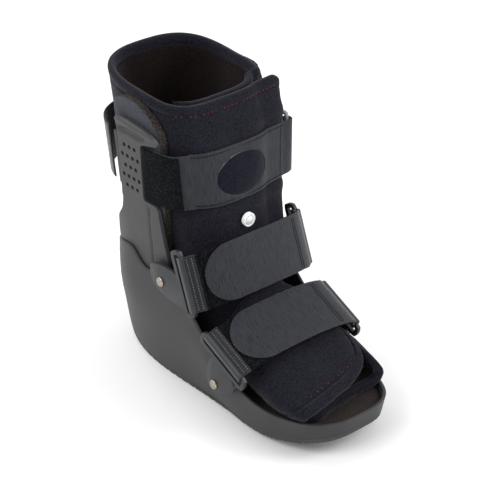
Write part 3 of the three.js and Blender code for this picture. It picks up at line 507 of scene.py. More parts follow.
CLOTH = loop_cloth("brushed_loop_cloth", "#09090d", "#282832")
LINING = loop_cloth("brushed_lining", "#080606", "#251c1b")
DOME_CLOTH = loop_cloth("stretch_loop_cloth", "#09090f", "#22222f")
PAD_CLOTH = loop_cloth("pad_cover_cloth", "#2b2c32", "#4d4e57")
STRAP_CLOTH = webbing_cloth("nylon_webbing", "#131416", "#2f3036")
TAIL_CLOTH = webbing_cloth("knitted_elastic", "#0c0d0f", "#26272b", 1.3, 0.12)
HOOKS = hook_tape("hook_tape")
SHELL_PLASTIC = moulded("moulded_nylon_shell", "#2f2f31", "#373738")
UPRIGHT_PLASTIC = moulded("moulded_nylon_upright", "#38383a", "#424243")
TAB_PLASTIC = moulded("moulded_nylon_tab", "#292a2d", "#323337", 0.36)
RING_PLASTIC = moulded("moulded_acetal_ring", "#85888c", "#a2a5a8", 0.35)
VALVE_PLASTIC = moulded("moulded_abs_valve", "#f5f6f6", "#ffffff", 0.35, 0.5, 0.01)
TREAD_RUBBER = moulded("moulded_rubber_tread", "#38383a", "#434344", 0.7, 0.8, 0.12)
PAD_FOAM = cut_foam("cut_pad_foam", "#12100f", "#403b37", 1.6)
INSOLE_FOAM = cut_foam("skived_insole_foam", "#1d1917", "#37312e", 0.9, 0.25)
RIVET_NICKEL = nickel("tumbled_nickel")
THREAD_PINK = loop_cloth("polyester_thread_pink", "#5c1a2c", "#96334c")
THREAD_DARK = loop_cloth("polyester_thread_dark", "#0c0c0f", "#1e1e22")
THREAD_GREY = loop_cloth("polyester_thread_grey", "#4d4e52", "#7d7e83")


# Stage
def stage():
    """A pale seamless floor, soft studio light and the camera at the photo's angle."""
    bm = bmesh.new()
    bmesh.ops.create_grid(bm, x_segments=1, y_segments=1, size=8)
    floor = added("floor", bm)
    floor.location.z = -0.1 * MM
    paper, _, _ = surface("white_paper_floor")
    floor.data.materials.append(coat(paper, {"Base Color": linear("#f4f4f4"), "Roughness": 0.8}))

    view = bpy.data.cameras.new("camera")
    view.lens = LENS
    view.sensor_width = SENSOR
    view.clip_end = 100
    camera = added("camera", view)
    across, ahead = swing(VIEW_AZIMUTH)
    level, up = swing(VIEW_ELEVATION)
    back = Vector((ahead * level, -across * level, up))
    target = Vector(VIEW_TARGET) * MM
    camera.location = target + back * VIEW_DISTANCE * MM
    camera.rotation_euler = (-back).to_track_quat("-Z", "Y").to_euler()
    bpy.context.scene.camera = camera

    world = bpy.data.worlds.new("studio")
    world.use_nodes = True
    background = world.node_tree.nodes["Background"]
    background.inputs["Color"].default_value = linear("#ffffff")
    background.inputs["Strength"].default_value = WORLD_LIGHT
    bpy.context.scene.world = world
    for name, place, size, power in LAMPS:
        lamp = bpy.data.lights.new(name, "AREA")
        lamp.size = size
        lamp.energy = power
        holder = added(name, lamp)
        holder.location = place
        holder.rotation_euler = (Vector(place) - target).to_track_quat("Z", "Y").to_euler()
    bpy.context.scene.view_settings.view_transform = "Standard"


# Sole and shell
# low and high are half widths as shares of SOLE_WIDTH / 2, along is a share of SOLE_LENGTH from the toe rim.
SOLE_PLAN = table(
    "along low high",
    (0, 0.88, 1.0),
    (0.2, 0.88, 1.02),
    (0.4, 0.76, 1.0),
    (0.55, 0.76, 0.99),
    (0.75, 0.8, 1.0),
    (1, 0.8, 1.0),
)
# The shell's top edge, high is a share of SHELL_HEIGHT.
RIM = table(
    "along high",
    (0, 0.29),
    (0.1, 0.275),
    (0.2, 0.285),
    (0.3, 0.355),
    (0.39, 0.455),
    (0.475, 0.625),
    (0.55, 0.82),
    (0.58, 0.94),
    (0.67, 0.95),
    (0.69, 0.91),
    (0.715, 0.865),
    (0.745, 0.86),
    (0.775, 0.9),
    (0.8, 0.96),
    (0.83, 0.97),
    (0.9, 0.93),
    (0.95, 0.87),
    (1, 0.82),
)
TOE_SQUARE = 3.2
HEEL_SQUARE = 3
FLARE_HEIGHT = 38
HEEL_FLARE = 80
EAR_FOOT = 34
EAR_ROOT = 96
TUCK = 8
HEEL_OUT = 2.5 + SHELL_WALL
HALF_STATIONS = 64
WALL_RISE = 80  # how tall the wall is on average, for the share of it that the lip takes


def rocker(along):
    toe = clamp01((0.36 - along) / 0.36) ** 1.8
    heel = clamp01((along - 0.78) / 0.22) ** 1.8
    return TOE_SPRING * toe + HEEL_SPRING * heel


def station(turn):
    """Share of the way from toe to heel, and how wide the sole is there, for a turn of 0 to 180 degrees."""
    c, s = swing(turn)
    power = 2 / (TOE_SQUARE if c > 0 else HEEL_SQUARE)
    return (1 - signed(c, power)) / 2, abs(s) ** power


def shell_point(turn, side, z, inset=0):
    """The shell's outline at a height, for a turn from toe to heel on the right (side -1) or left (1)."""
    along, wide = station(turn)
    rise = clamp01(z / lerp(FLARE_HEIGHT, HEEL_FLARE, smooth(0.35, 0.6, along))) ** 0.75
    low, high = curved(SOLE_PLAN, "along", along, "low"), curved(SOLE_PLAN, "along", along, "high")
    half = lerp(low, high, rise) * SOLE_WIDTH / 2 - inset
    front = TOE_Y + TUCK * (1 - rise) + inset
    back = TOE_Y + SOLE_LENGTH - TUCK * (1 - rise) ** 1.5 - inset
    held = max(z, 0.36 * BOOT_HEIGHT)
    ear_half = leg_half(held) + EAR_OUT - inset
    ear_back = leg_row(held, "back") * CALF_DEPTH / 2 + HEEL_OUT - inset
    ear_y = lerp(front, LEG_Y + ear_back, along)
    behind = ear_y > LEG_Y
    square = leg_row(held, "heel") if behind else 3
    share = min(1, abs(ear_y - LEG_Y) / (ear_back if behind else LEG_Y - front))
    ear_x = ear_half * oval(share, square)
    grip = smooth(EAR_FOOT, EAR_ROOT, z) * smooth(0.42, 0.6, along)
    x = side * lerp(half * wide, ear_x, grip) + toe_out(along)
    return Vector((x, lerp(lerp(front, back, along), ear_y, grip), z))


def rim_height(along):
    return curved(RIM, "along", along, "high") * SHELL_HEIGHT


def shell():
    """The moulded tray: a wall with a rounded rim all round, its floor and its underside."""
    turns = [180 * k / HALF_STATIONS for k in range(HALF_STATIONS + 1)]
    outer = [(t, 0.0) for t in (0, 0.04, 0.1, 0.2, 0.32, 0.45, 0.6, 0.74, 0.86, 0.94)]
    lip = [(1 - SHELL_WALL / 2 / WALL_RISE * (1 - s), (1 - c) / 2) for c, s in map(swing, range(0, 181, 30))]
    inner = [(t, 1.0) for t in (0.94, 0.85, 0.7, 0.55, 0.4, 0.25, 0.1, 0.03, 0)]
    profile = outer + lip + inner
    bm = bmesh.new()
    stations = [(t, -1) for t in turns] + [(t, 1) for t in reversed(turns[1:-1])]
    rows, columns = len(profile) - 1, len(stations)
    made = bmesh.ops.create_grid(bm, x_segments=columns, y_segments=rows, size=1)["verts"]
    for vert in made:
        i = round((vert.co.x + 1) / 2 * columns) % columns
        j = round((vert.co.y + 1) / 2 * rows)
        turn, side = stations[i]
        up, inset = profile[j]
        along = station(turn)[0]
        bottom = FLOOR_TOP if j >= len(outer) + len(lip) else rocker(along) + TREAD + GAP
        z = lerp(bottom, rim_height(along), up)
        vert.co = shell_point(turn, side, z, SHELL_WALL * inset) * MM
    for z_at, inset in ((lambda a: rocker(a) + TREAD + GAP, 0), (lambda a: FLOOR_TOP, SHELL_WALL)):
        made = bmesh.ops.create_grid(bm, x_segments=HALF_STATIONS, y_segments=8, size=1)["verts"]
        for vert in made:
            turn = turns[round((vert.co.x + 1) / 2 * HALF_STATIONS)]
            z = z_at(station(turn)[0])
            right, left = shell_point(turn, -1, z, inset), shell_point(turn, 1, z, inset)
            vert.co = right.lerp(left, (vert.co.y + 1) / 2) * MM
    bmesh.ops.remove_doubles(bm, verts=bm.verts, dist=5e-6)
    bmesh.ops.dissolve_degenerate(bm, edges=bm.edges, dist=1e-7)
    bmesh.ops.recalc_face_normals(bm, faces=bm.faces)
    return placed(bm, "shell_tray", SHELL_PLASTIC, ["shell"], 50)


def crisp(node_name, material, width):
    """A moulded piece with the CAD node's own shape and small rounded edges."""
    piece = placed(copied(node_name), node_name + "_piece", material, [node_name], 35)
    modify(piece, "BEVEL", width=width * MM, segments=2, limit_method="ANGLE", angle_limit=math.radians(35),
           harden_normals=True, use_clamp_overlap=True)


# Straps
ANKLE = dict(
    slot=(foot_at(0.5193), 0.955 * SHELL_HEIGHT),
    rivet=(foot_at(0.6262), 0.8616 * SHELL_HEIGHT),
    out=leg_half(0.42 * BOOT_HEIGHT) + EAR_OUT + 0.8,
    tilt=21, rise=22, shift=3,
)
FOREFOOT = dict(
    slot=(foot_at(0.3379), 0.5512 * SHELL_HEIGHT),
    rivet=(foot_at(0.3762), 0.32 * SHELL_HEIGHT),
    out=SOLE_WIDTH / 2 + toe_out(0.38) + 0.8,
    tilt=66, rise=16, shift=0,
)
ARCH_SQUARE = 2.2
ARCH_LAYER = LAYER + 0.2
BAR_AHEAD = SLOT_WIDTH / 2 + BAR / 2
WRAP_SIDE = TAB_WALL / 2 + GAP + WEBBING / 2
WRAP_BACK = BAR / 2 + GAP + WEBBING / 2


def tab_place(tab, across, ahead):
    """A place in a tab's plane as (y, z): across runs along its slot, and ahead towards the toe."""
    c, s = swing(tab["tilt"])
    return tab["slot"][0] - s * across - c * ahead, tab["slot"][1] - c * across + s * ahead


def tab_across(tab):
    """The direction along a tab's slot."""
    c, s = swing(tab["tilt"])
    return Vector((0, -s, -c))


def arch_place(tab, angle, lift):
    """A place on a strap's way over the foot, as x and how far ahead of the slot."""
    c, s = swing(angle)
    power = 2 / ARCH_SQUARE
    half = tab["out"] + TAB_WALL / 2 - WRAP_SIDE + lift
    return -half * signed(c, power), BAR_AHEAD + (tab["rise"] + lift) * max(0, s) ** power


def half_turn(x, y, reach_x, reach_y):
    """The way of webbing half round a bar, from the inside to the outside."""
    turns = [swing(180 - 15 * k) for k in range(13)]
    return [(x + reach_x * signed(c, 0.5), y + reach_y * math.sqrt(max(0, s))) for c, s in turns]


def bar_wrap(tab, side):
    """The webbing's way round a tab's bar, from the inside to the outside."""
    bar = side * (tab["out"] + TAB_WALL / 2)
    wrap = half_turn(bar, BAR_AHEAD, side * WRAP_SIDE, -WRAP_BACK)
    return wrap + [(bar + side * WRAP_SIDE, BAR_AHEAD + BAR / 2 + 0.8)]


def steps(start, end, count):
    return [lerp(start, end, k / count) for k in range(count + 1)]


class Path:
    """A smooth curve through plane points, by length in millimetres."""

    def __init__(self, points):
        kept = [np.array(points[0], float)]
        for point in points[1:]:
            if np.linalg.norm(np.array(point) - kept[-1]) > 0.05:
                kept.append(np.array(point, float))
        self.points = np.array(kept)
        gaps = np.linalg.norm(np.diff(self.points, axis=0), axis=1)
        self.at = np.concatenate([[0], np.cumsum(gaps)])
        self.length = float(self.at[-1])
        self.slopes = np.gradient(self.points, self.at, axis=0)

    def point(self, s):
        i = int(np.clip(np.searchsorted(self.at, s) - 1, 0, len(self.at) - 2))
        span = self.at[i + 1] - self.at[i]
        slopes = span * self.slopes[i], span * self.slopes[i + 1]
        t = clamp01((s - self.at[i]) / span)
        return hermite(self.points[i], slopes[0], self.points[i + 1], slopes[1], t)

    def direction(self, s):
        step = 0.25
        d = self.point(min(self.length, s + step)) - self.point(max(0, s - step))
        return d / np.linalg.norm(d)


def on_arch(tab, path, s, w):
    """A place on the middle of a strap over the foot, by its length and width, and the way out of it."""

    def middle(at):
        x, ahead = path.point(min(path.length, max(0, at)))
        y, z = tab_place(tab, w - tab["shift"] * (1 - (x / tab["out"]) ** 2), ahead)
        return Vector((x, y, z))

    return middle(s), (middle(s + 0.3) - middle(s - 0.3)).cross(tab_across(tab)).normalized()


def seam_across(tab, path, s, count=20):
    """The places and directions of a row of stitches across a strap, on its outer face."""
    spots = []
    for w in steps(-STRAP_WIDTH / 2 + 3, STRAP_WIDTH / 2 - 3, count):
        middle, out = on_arch(tab, path, s, w)
        centre = Vector((0, *tab_place(tab, w, 0)))
        face = out if out.dot(middle - centre) > 0 else -out
        spots.append((middle + face * (WEBBING / 2 + 0.15), tab_across(tab)))
    return spots


def arch_strap(tab, path, half_width, name, materials, node_name, kind_at=None, swell=lambda s: 0):
    """A strap over the foot. path is its middle line, as x and how far ahead of the slot, kind_at(s) the
    material of its face at a length along it, and swell(s) what its thickness gains there."""
    radius = WEBBING / 2

    def place(s, v):
        half = half_width(s)
        w = (v / STRAP_WIDTH * 2 - 1) * half
        middle, out = on_arch(tab, path, s, w)
        edge = min(s, path.length - s, half - abs(w))
        return middle, out, round_edge(edge, radius) * (1 + swell(s) / radius)

    us = spread(path.length, 1.6, radius)
    if half_width(0) < radius:
        us = sorted(set(us + [0.15, 0.6, 1.4, 2.4, 3.6, 5, 6.6]))
    bm = panel(us, spread(STRAP_WIDTH, 5, radius), place)
    uv = bm.loops.layers.uv["cloth"]
    if kind_at:
        for face in bm.faces:
            s = sum(loop[uv].uv.x for loop in face.loops) / len(face.loops) / MM
            face.material_index = kind_at(s)
    return placed(bm, name, materials, [node_name], 60)


KNIT_LONG = 10  # length of the knitted tail beside a tab's bar


def arch_straps(tab, name, tip):
    """Both straps over the foot: a short one with its tail stitched back round the right tab's bar, and the
    long one that comes from the left tab and ends in a round tip on it."""
    tail = [arch_place(tab, a, ARCH_LAYER) for a in (tip - 3, tip - 6, tip - 9, 21, 17)]
    under = [arch_place(tab, a, 0) for a in steps(7, 152, 40)]
    wrap = bar_wrap(tab, -1)[::-1]
    base = Path(tail + wrap + under)
    to_bar = Path(tail + wrap[:1]).length
    past_bar = to_bar + Path(wrap).length
    bar_end = to_bar - 2.5

    def kind_at(s):
        if bar_end < s < past_bar:
            return 2
        return 0 if bar_end - KNIT_LONG < s <= bar_end else 1

    arch_strap(tab, base, lambda s: STRAP_WIDTH / 2, name + "_strap_base_webbing",
               [TAIL_CLOTH, HOOKS, TAB_PLASTIC], name + "_strap_base", kind_at,
               lambda s: 0.9 * bell(s, to_bar, 2.4))
    spots = seam_across(tab, base, bar_end - 2.5) + seam_across(tab, base, bar_end - 7)
    stitches(name + "_tail_stitches", spots, 0.7, 0.5, THREAD_GREY)
    over = [arch_place(tab, a, ARCH_LAYER) for a in steps(tip, 163, 40)]
    turn = [arch_place(tab, a, 0) for a in (173, 166, 160)]
    path = Path(over + bar_wrap(tab, 1)[::-1] + turn)
    r = STRAP_WIDTH / 2
    round_tip = lambda s: math.sqrt(max(0.0, r * r - (r - s) ** 2)) if s < r else r
    arch_strap(tab, path, round_tip, name + "_strap_webbing", STRAP_CLOTH, name + "_strap")
    fold = Path(over[:31]).length
    spots = seam_across(tab, path, fold, 24) + seam_across(tab, path, fold + 3, 24)
    stitches(name + "_fold_stitches", spots, 0.8, 0.45, THREAD_DARK)


# Calf straps, level round the leg
CALF_LOW = 0.6375 * BOOT_HEIGHT
CALF_MIDDLE = CALF_LOW + STRAP_WIDTH / 2
RING_WIRE = 3
RING_SPAN = 11.5
RING_X = leg_half(CALF_MIDDLE) + BAND_OUT + 3.35
RING_FRONT = LEG_Y - 0.514 * CALF_DEPTH
RING_BACK = RING_FRONT + RING_SPAN
FLAP_FROM = 36
FLAP_LOW = 0.3714 * BOOT_HEIGHT
FLAP_LIFT = 8
FLAP_PUSH = 7
# The strap's window over the pump: its middle, half its width and height, and the dome under it
WINDOW_X, WINDOW_Z, WINDOW_HALF, WINDOW_TALL = 4, CALF_MIDDLE - 2, 27, 18.5
DOME_RISE = 4.4
DOME_OVER = 1.2


def flap_point(angle, z, offset):
    """A place on the calf flap, whose free edge stands off the calf."""
    free = smooth(FLAP_FROM + 28, FLAP_FROM, angle)
    x, y, _ = leg_point(angle, z, FLAP_LIFT * free + offset)
    return x + FLAP_PUSH * free, y, z


def ring_wrap(y, turn):
    """A strap's way round the calf ring, from the inside to the outside."""
    reach = RING_WIRE / 2 + GAP + WEBBING / 2
    return [("at", *place) for place in half_turn(RING_X, y, reach, turn * reach)]


def calf_strap(path, place, name, material, node_name):
    """A level strap through steps of (angle, out) on the leg or ("at", x, y)."""
    radius = WEBBING / 2
    vs = spread(STRAP_WIDTH, 5, radius)
    lines = {}
    for v in vs:
        lines[v] = Path([s[1:] if s[0] == "at" else place(s[0], CALF_LOW + v, s[1])[:2] for s in path])
    length = lines[vs[len(vs) // 2]].length

    def spot(s, v):
        here = s / length * lines[v].length
        x, y = lines[v].point(here)
        dx, dy = lines[v].direction(here)
        edge = min(s, length - s, v, STRAP_WIDTH - v)
        return (x, y, CALF_LOW + v), (dy, -dx, 0), round_edge(edge, radius)

    return placed(panel(spread(length, 2.4, radius), vs, spot), name, material, [node_name], 60)


def calf_straps():
    """The band round the back, the strap across the front with its window, and its hook pad on the stem."""
    band, strap = BAND_OUT - WEBBING / 2, GAP + WEBBING / 2
    back = [(a, band) for a in steps(200, 378, 60)] + [("at", RING_X - 4, RING_BACK + 4)]
    back += ring_wrap(RING_BACK, -1) + [("at", RING_X + 2.4, RING_BACK + 3.5)]
    calf_strap(back, leg_point, "calf_band_webbing", STRAP_CLOTH, "calf_band")
    front = [(a, band) for a in steps(192, 160, 8)]
    front += [(152, band - 0.5), (147, 8.2), (142, 6.3), (137, 4.4), (131, 2.6)]  # down to the flap
    front += [(a, strap) for a in steps(128, 44, 30)]
    front += [("at", RING_X - 1.4, RING_FRONT - 6.3), ("at", RING_X + 2.3, RING_FRONT - 4.1)]
    front += ring_wrap(RING_FRONT, 1)[::-1]
    piece = calf_strap(front, flap_point, "calf_strap_webbing", STRAP_CLOTH, "calf_strap")
    cutter = bmesh.new()
    bmesh.ops.create_cone(cutter, cap_ends=True, segments=64, radius1=1, radius2=1, depth=2)
    turn = Matrix.Rotation(math.pi / 2, 4, "X")
    size = Matrix.Diagonal((WINDOW_HALF * MM, 0.04, WINDOW_TALL * MM, 1))
    move = Matrix.Translation(Vector((WINDOW_X, leg_point(90, WINDOW_Z)[1] - 8, WINDOW_Z)) * MM)
    bmesh.ops.transform(cutter, matrix=move @ size @ turn, verts=cutter.verts)
    cut(piece, cutter)
    hook = [(a, band + LAYER) for a in (173, 170, 167, 163, 160, 156)]
    hook += [(152, band + LAYER - 0.3), (146, 10.2), (141, 8.4)]
    calf_strap(hook, leg_point, "calf_hook_tape", HOOKS, "calf_hook")


def cut(piece, cutter, operation="DIFFERENCE"):
    """Cuts a piece with another solid, and keeps the result as its mesh."""
    tool = added("cutter", cutter)
    modify(piece, "BOOLEAN", operation=operation, solver="EXACT", object=tool)
    apply_modifiers(piece)
    bpy.data.meshes.remove(tool.data)


# Soft pieces
HEM = 9.5  # width of the turned hem along the top
HEM_GROOVE = 0.9  # depth of its sewn groove
HEM_LINE = 1.2  # half the groove's width
HEM_SWELL = 0.25
SWELL = 1.6  # how far the padding bulges above and below the calf strap
UNEVEN = 0.45
UNEVEN_SIZE = 30
SEAM = 144  # angle where the outer layer passes into the flap
SLEEVE_LOW = 118  # height where the leg's layer takes over from the foot
LINER_END = 500  # angle of the liner's free edge, just short of a whole turn
INNER_FROM, INNER_TO = 382, 396  # angles between which it dips under the flap
INNER_INSET = FLAP + GAP
SKIVE = 24  # length of its thinned end
SKIVED = 0.85  # share of the thickness that is lost there
TOE_CUT, TOE_BACK = 0.14, 0.3  # shares of the length where the toe's layer takes over, and where it ends


def relief(angle, x, y, z):
    """Soft unevenness of the wrapped layers, and how the padding swells above and below the calf strap."""
    front = smooth(SEAM, SEAM - 20, angle)
    swell = SWELL * (bell(z, CALF_LOW + STRAP_WIDTH + 9, 6) + bell(z, CALF_LOW - 9, 6))
    return UNEVEN * wobble(x, y, z, UNEVEN_SIZE) + front * (swell - 0.5 * bell(z, CALF_MIDDLE, 18))


def outward(place_at, angle, z, offset):
    """A place on a layer round the leg, and the direction out of it."""
    middle = Vector(place_at(angle, z, offset))
    a, b = Vector(place_at(angle + 0.5, z, offset)), Vector(place_at(angle - 0.5, z, offset))
    up = Vector(place_at(angle, z + 1, offset)) - Vector(place_at(angle, z - 1, offset))
    out = (a - b).cross(up).normalized()
    return middle, out if out.dot(middle - Vector((0, LEG_Y, z))) > 0 else -out


def corner_drop(distance, radius):
    """How far a rounded corner lies below the rim, at a distance from the free edge."""
    return radius - round_edge(distance, radius) if radius and distance < radius else 0


def wrapped(start, end, low, place_at, offset_at, thickness, thin_end=0, corner=0):
    """A padded layer round the leg from a seam to a free edge, from a height to the rim, with a turned hem.
    thin_end is how long its end is skived, and corner the radius of its free corner."""
    radius = thickness / 2
    angles = steps(start, end, 400)
    spots = [Vector(place_at(a, CALF_MIDDLE, offset_at(a))) for a in angles]
    chord = [0.0]
    for a, b in zip(spots, spots[1:]):
        chord.append(chord[-1] + (b - a).length)
    width = chord[-1]
    tall = BOOT_HEIGHT - low

    def place(u, v):
        angle = float(np.interp(u, chord, angles))
        z = low + v / tall * (rim_at(angle) - corner_drop(width - u, corner) - low)
        offset = offset_at(angle) - radius
        half = min(round_edge(width - u, radius), round_edge(tall - v, radius))
        half *= 1 - SKIVED * smooth(width - thin_end, width, u) if thin_end else 1
        groove = HEM_GROOVE * bell(tall - v, HEM, HEM_LINE) - HEM_SWELL * bell(tall - v, HEM / 2, 3)
        half -= groove * smooth(0, 5, width - u)
        half = max(0, half) if min(u, v, width - u, tall - v) > 0 else 0
        middle, out = outward(place_at, angle, z, offset)
        return middle + out * relief(angle % 360, *middle), out, half

    us = spread(width, 2.4, 0, radius)
    vs = spread(tall, 2.4, 0, radius)
    hem_rows = [tall - HEM + d for d in (-1.8, -0.9, 0, 0.9, 1.8)]
    vs = sorted([v for v in vs if abs(v - tall + HEM) > 2.4] + hem_rows)
    return panel(us, vs, place, lambda u, v: 1 if tall - v > HEM else 0)


def calf_flap():
    """The padded outer flap round the calf, with its free edge on the wearer's left."""
    bm = wrapped(SEAM, FLAP_FROM, FLAP_LOW, flap_point, lambda a: 0, FLAP, corner=11)
    piece = placed(bm, "calf_flap_padded", [CLOTH, LINING], ["calf_flap"], 60)


def inside_foot(face):
    """Whether a face of the foot is lining, on its inside behind the toes."""
    centre = face.calc_center_median() / MM
    along = (centre.y - TOE_Y) / SOLE_LENGTH
    inward = face.normal.dot(centre - Vector((toe_out(along), centre.y, 44))) < 0
    return inward and centre.y > foot_at(0.11)


def liner():
    """The padded bootie with its lining: the foot, and the layer wrapped round the leg above it."""
    foot = remeshed(copied("liner_boot"), 2.3, 8)
    uneven(foot, 0.4, 22)
    for cut_at, facing in (((0, 0, SLEEVE_LOW), (0, 0, 1)), ((0, foot_at(TOE_CUT), 0), (0, -1, 0))):
        bmesh.ops.bisect_plane(foot, geom=foot.verts[:] + foot.edges[:] + foot.faces[:],
                               plane_co=Vector(cut_at) * MM, plane_no=facing, clear_outer=True)
    foot.normal_update()
    for face in foot.faces:
        face.material_index = 1 if inside_foot(face) else 0
    inset = lambda a: -INNER_INSET * smooth(INNER_FROM, INNER_TO, a)
    leg = wrapped(SEAM, LINER_END, SLEEVE_LOW, leg_point, inset, LINER_WALL, SKIVE)
    for part in (foot, foot_layer(TOE_EDGE, foot_at(TOE_BACK), LINER_WALL)):
        mesh = bpy.data.meshes.new("part")
        part.to_mesh(mesh)
        part.free()
        leg.from_mesh(mesh)
        bpy.data.meshes.remove(mesh)
    piece = placed(leg, "liner_boot_padded", [CLOTH, LINING], ["liner_boot"], 60)


# Foot surface: half is a share of SOLE_WIDTH / 2 and top of SHELL_HEIGHT.
FOOT = table(
    "along half top",
    (0.04, 0.78, 0.3696),
    (0.1, 0.82, 0.4256),
    (0.18, 0.86, 0.4973),
    (0.25, 0.84, 0.5779),
    (0.38, 0.78, 0.7504),
    (0.44, 0.76, 0.896),
    (0.52, 0.74, 0.9408),
    (0.74, 0.7, 0.9408),
)
FOOT_ROUND = 2.5
FOOT_FLAT = 2.9


def inner_half(y):
    """Half the width inside the shell's walls, at the rim."""
    along = clamp01((y - TOE_Y) / SOLE_LENGTH)
    square = TOE_SQUARE if along < 0.5 else HEEL_SQUARE
    wide = curved(SOLE_PLAN, "along", along, "high") * SOLE_WIDTH / 2
    return wide * oval(abs(1 - 2 * along), square) - SHELL_WALL


def foot_point(angle, y, offset=0):
    """A place on the outside of the wrapped liner round the foot, fuller where the free edges overlap."""
    along = (y - TOE_Y) / SOLE_LENGTH
    c, s = swing(angle)
    full = max(0, c) * smooth(0.36, 0.2, along)
    half = curved(FOOT, "along", along, "half") * SOLE_WIDTH / 2 + offset
    top = curved(FOOT, "along", along, "top") * SHELL_HEIGHT + 5 * full
    middle = lerp(LINER_BOTTOM, top, 0.4)
    power = 2 / (FOOT_ROUND + 1.2 * full if s > 0 else FOOT_FLAT)
    reach = top - middle + offset if s > 0 else middle - LINER_BOTTOM + min(offset, 0)
    z = middle + reach * signed(s, power)
    limit = inner_half(y) - 0.6 + min(0, offset) + 4 * smooth(34, 46, z)
    if along < 0.3:
        half = min(half, limit)
    return Vector((half * signed(c, power) + toe_out(along), y, z))


# Front edges of the foot's two free layers: how far forward they reach at each angle.
FLAP_EDGE = table(
    "angle y",
    (-205, -112),
    (-180, -116),
    (-150, -119),
    (-110, -118),
    (-90, -115),
    (-72, -110),
    (-55, -103),
    (-42, -94),
    (-33, -82),
    (-28, -66),
    (-20, -50),
    (-12, -30),
    (-6, -6),
)
TOE_EDGE = table(
    "angle y",
    (-170, -104),
    (-150, -112),
    (-120, -117),
    (-90, -112),
    (-70, -110),
    (-30, -112),
    (0, -113),
    (14, -112),
    (24, -107),
    (34, -98),
    (42, -84),
)
ROLL = 4.6  # radius of a rolled edge
ROLL_WIDE = 9.5  # how far behind the edge it is sewn down
ROLL_GROOVE = 1.7
EDGE_PART = 12  # how far behind the edge a layer's rows follow its slant
BACK_PART = 14  # length of the back end that is pressed down
BACK_SUNK = 3


def rolled(distance, radius):
    """Half the thickness of a padded layer behind its rolled edge, with the sewn groove."""
    if distance <= ROLL:
        return round_edge(distance, ROLL)
    groove = ROLL_GROOVE * bell(distance, ROLL_WIDE, 1.3)
    return radius + (ROLL - radius) * smooth(ROLL_WIDE, ROLL, distance) - groove


def layer_place(edge, turn, back, thickness):
    """A layer's way over the foot: place(u, v) for its panel, and its width along the front edge."""
    front = lambda a: curved(edge, "angle", a, "y")
    angles = steps(edge[0]["angle"], edge[-1]["angle"], 240)
    spots = [foot_point(turn * a, front(a), -thickness / 2) for a in angles]
    chord = [0.0]
    for a, b in zip(spots, spots[1:]):
        chord.append(chord[-1] + math.hypot((b - a).x, (b - a).z) + 0.02)
    reach = back - min(row["y"] for row in edge)
    radius = thickness / 2

    def at(u, v, lift=0.0):
        angle = float(np.interp(u, chord, angles))
        ahead, behind = float(np.interp(u - 1, chord, angles)), float(np.interp(u + 1, chord, angles))
        stretch = min(2.5, math.hypot(1, (front(behind) - front(ahead)) / 2))
        lift -= BACK_SUNK * smooth(reach - BACK_PART, reach, v)
        y = min(front(angle) + min(v, EDGE_PART) * stretch, back)
        y = lerp(y, back, max(0, v - EDGE_PART) / (reach - EDGE_PART))
        return foot_point(turn * angle, y, lift - radius)

    def place(u, v):
        middle = at(u, v)
        across = at(min(chord[-1], u + 0.6), v) - at(max(0, u - 0.6), v)
        along = at(u, v + 0.6) - at(u, max(0, v - 0.6))
        out = across.cross(along).normalized()
        inside = Vector((toe_out(0.1), middle.y + 5, lerp(LINER_BOTTOM, 50, 0.4)))
        if out.dot(middle - inside) < 0:
            out = -out
        half = min(rolled(v, radius), round_edge(u, radius), round_edge(chord[-1] - u, radius),
                   round_edge((reach - v) / 4, radius))
        return middle + out * 0.5 * wobble(*middle, 16), out, half

    return at, place, chord[-1], reach


def foot_layer(edge, back, thickness, turn=1):
    """A padded layer over the foot with a rolled and sewn front edge."""
    _, place, width, reach = layer_place(edge, turn, back, thickness)
    vs = [0, 0.2, 0.7, 1.5, 2.5, 3.6, 4.8, 6, 7.2, 8.2, 8.9, 9.5, 10.1, 10.8, 12]
    vs += steps(14.5, reach - thickness / 2 - 1, round((reach - 17) / 2.6))
    vs += [reach - d for d in (2, 0.8, 0.2, 0)]
    return panel(spread(width, 2.4, thickness / 2), vs, place, lambda u, v: 1 if v > ROLL_WIDE else 0)


def foot_flap():
    """The padded flap over the foot, with a few pink stitches showing behind its rolled edge."""
    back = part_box("foot_flap")[1].y / MM + 7
    bm = foot_layer(FLAP_EDGE, back, FLAP, -1)
    piece = placed(bm, "foot_flap_padded", [CLOTH, LINING], ["foot_flap"], 60)
    at, _, width, _ = layer_place(FLAP_EDGE, -1, back, FLAP)
    spots = []
    for k, u in enumerate(steps(0.2 * width, 0.7 * width, 34)):
        if k % 7 in (0, 4):
            lift = FLAP - ROLL_GROOVE + 0.3
            here = at(u, ROLL_WIDE, lift)
            spots.append((here, at(u + 1, ROLL_WIDE, lift) - here))
    stitches("foot_flap_stitches", spots, 0.8, 0.4, THREAD_PINK)


def hem_stitches():
    """Pink stitches along the flap's hem, about 4 mm apart; a few sink in the cloth."""
    spots = []
    last = None
    share = 1 - HEM / (BOOT_HEIGHT - FLAP_LOW)
    for k, angle in enumerate(steps(142, 41, 600)):
        z = FLAP_LOW + share * (rim_at(angle) - FLAP_LOW)
        middle, out = outward(flap_point, angle, z, -FLAP / 2)
        here = middle + out * (relief(angle, *middle) + FLAP / 2 - HEM_GROOVE + 0.15)
        if last and (here - last).length < 4:
            continue
        if last and k % 5:
            spots.append((here, here - last))
        last = here
    stitches("hem_stitches", spots, 0.8, 0.5, THREAD_PINK)


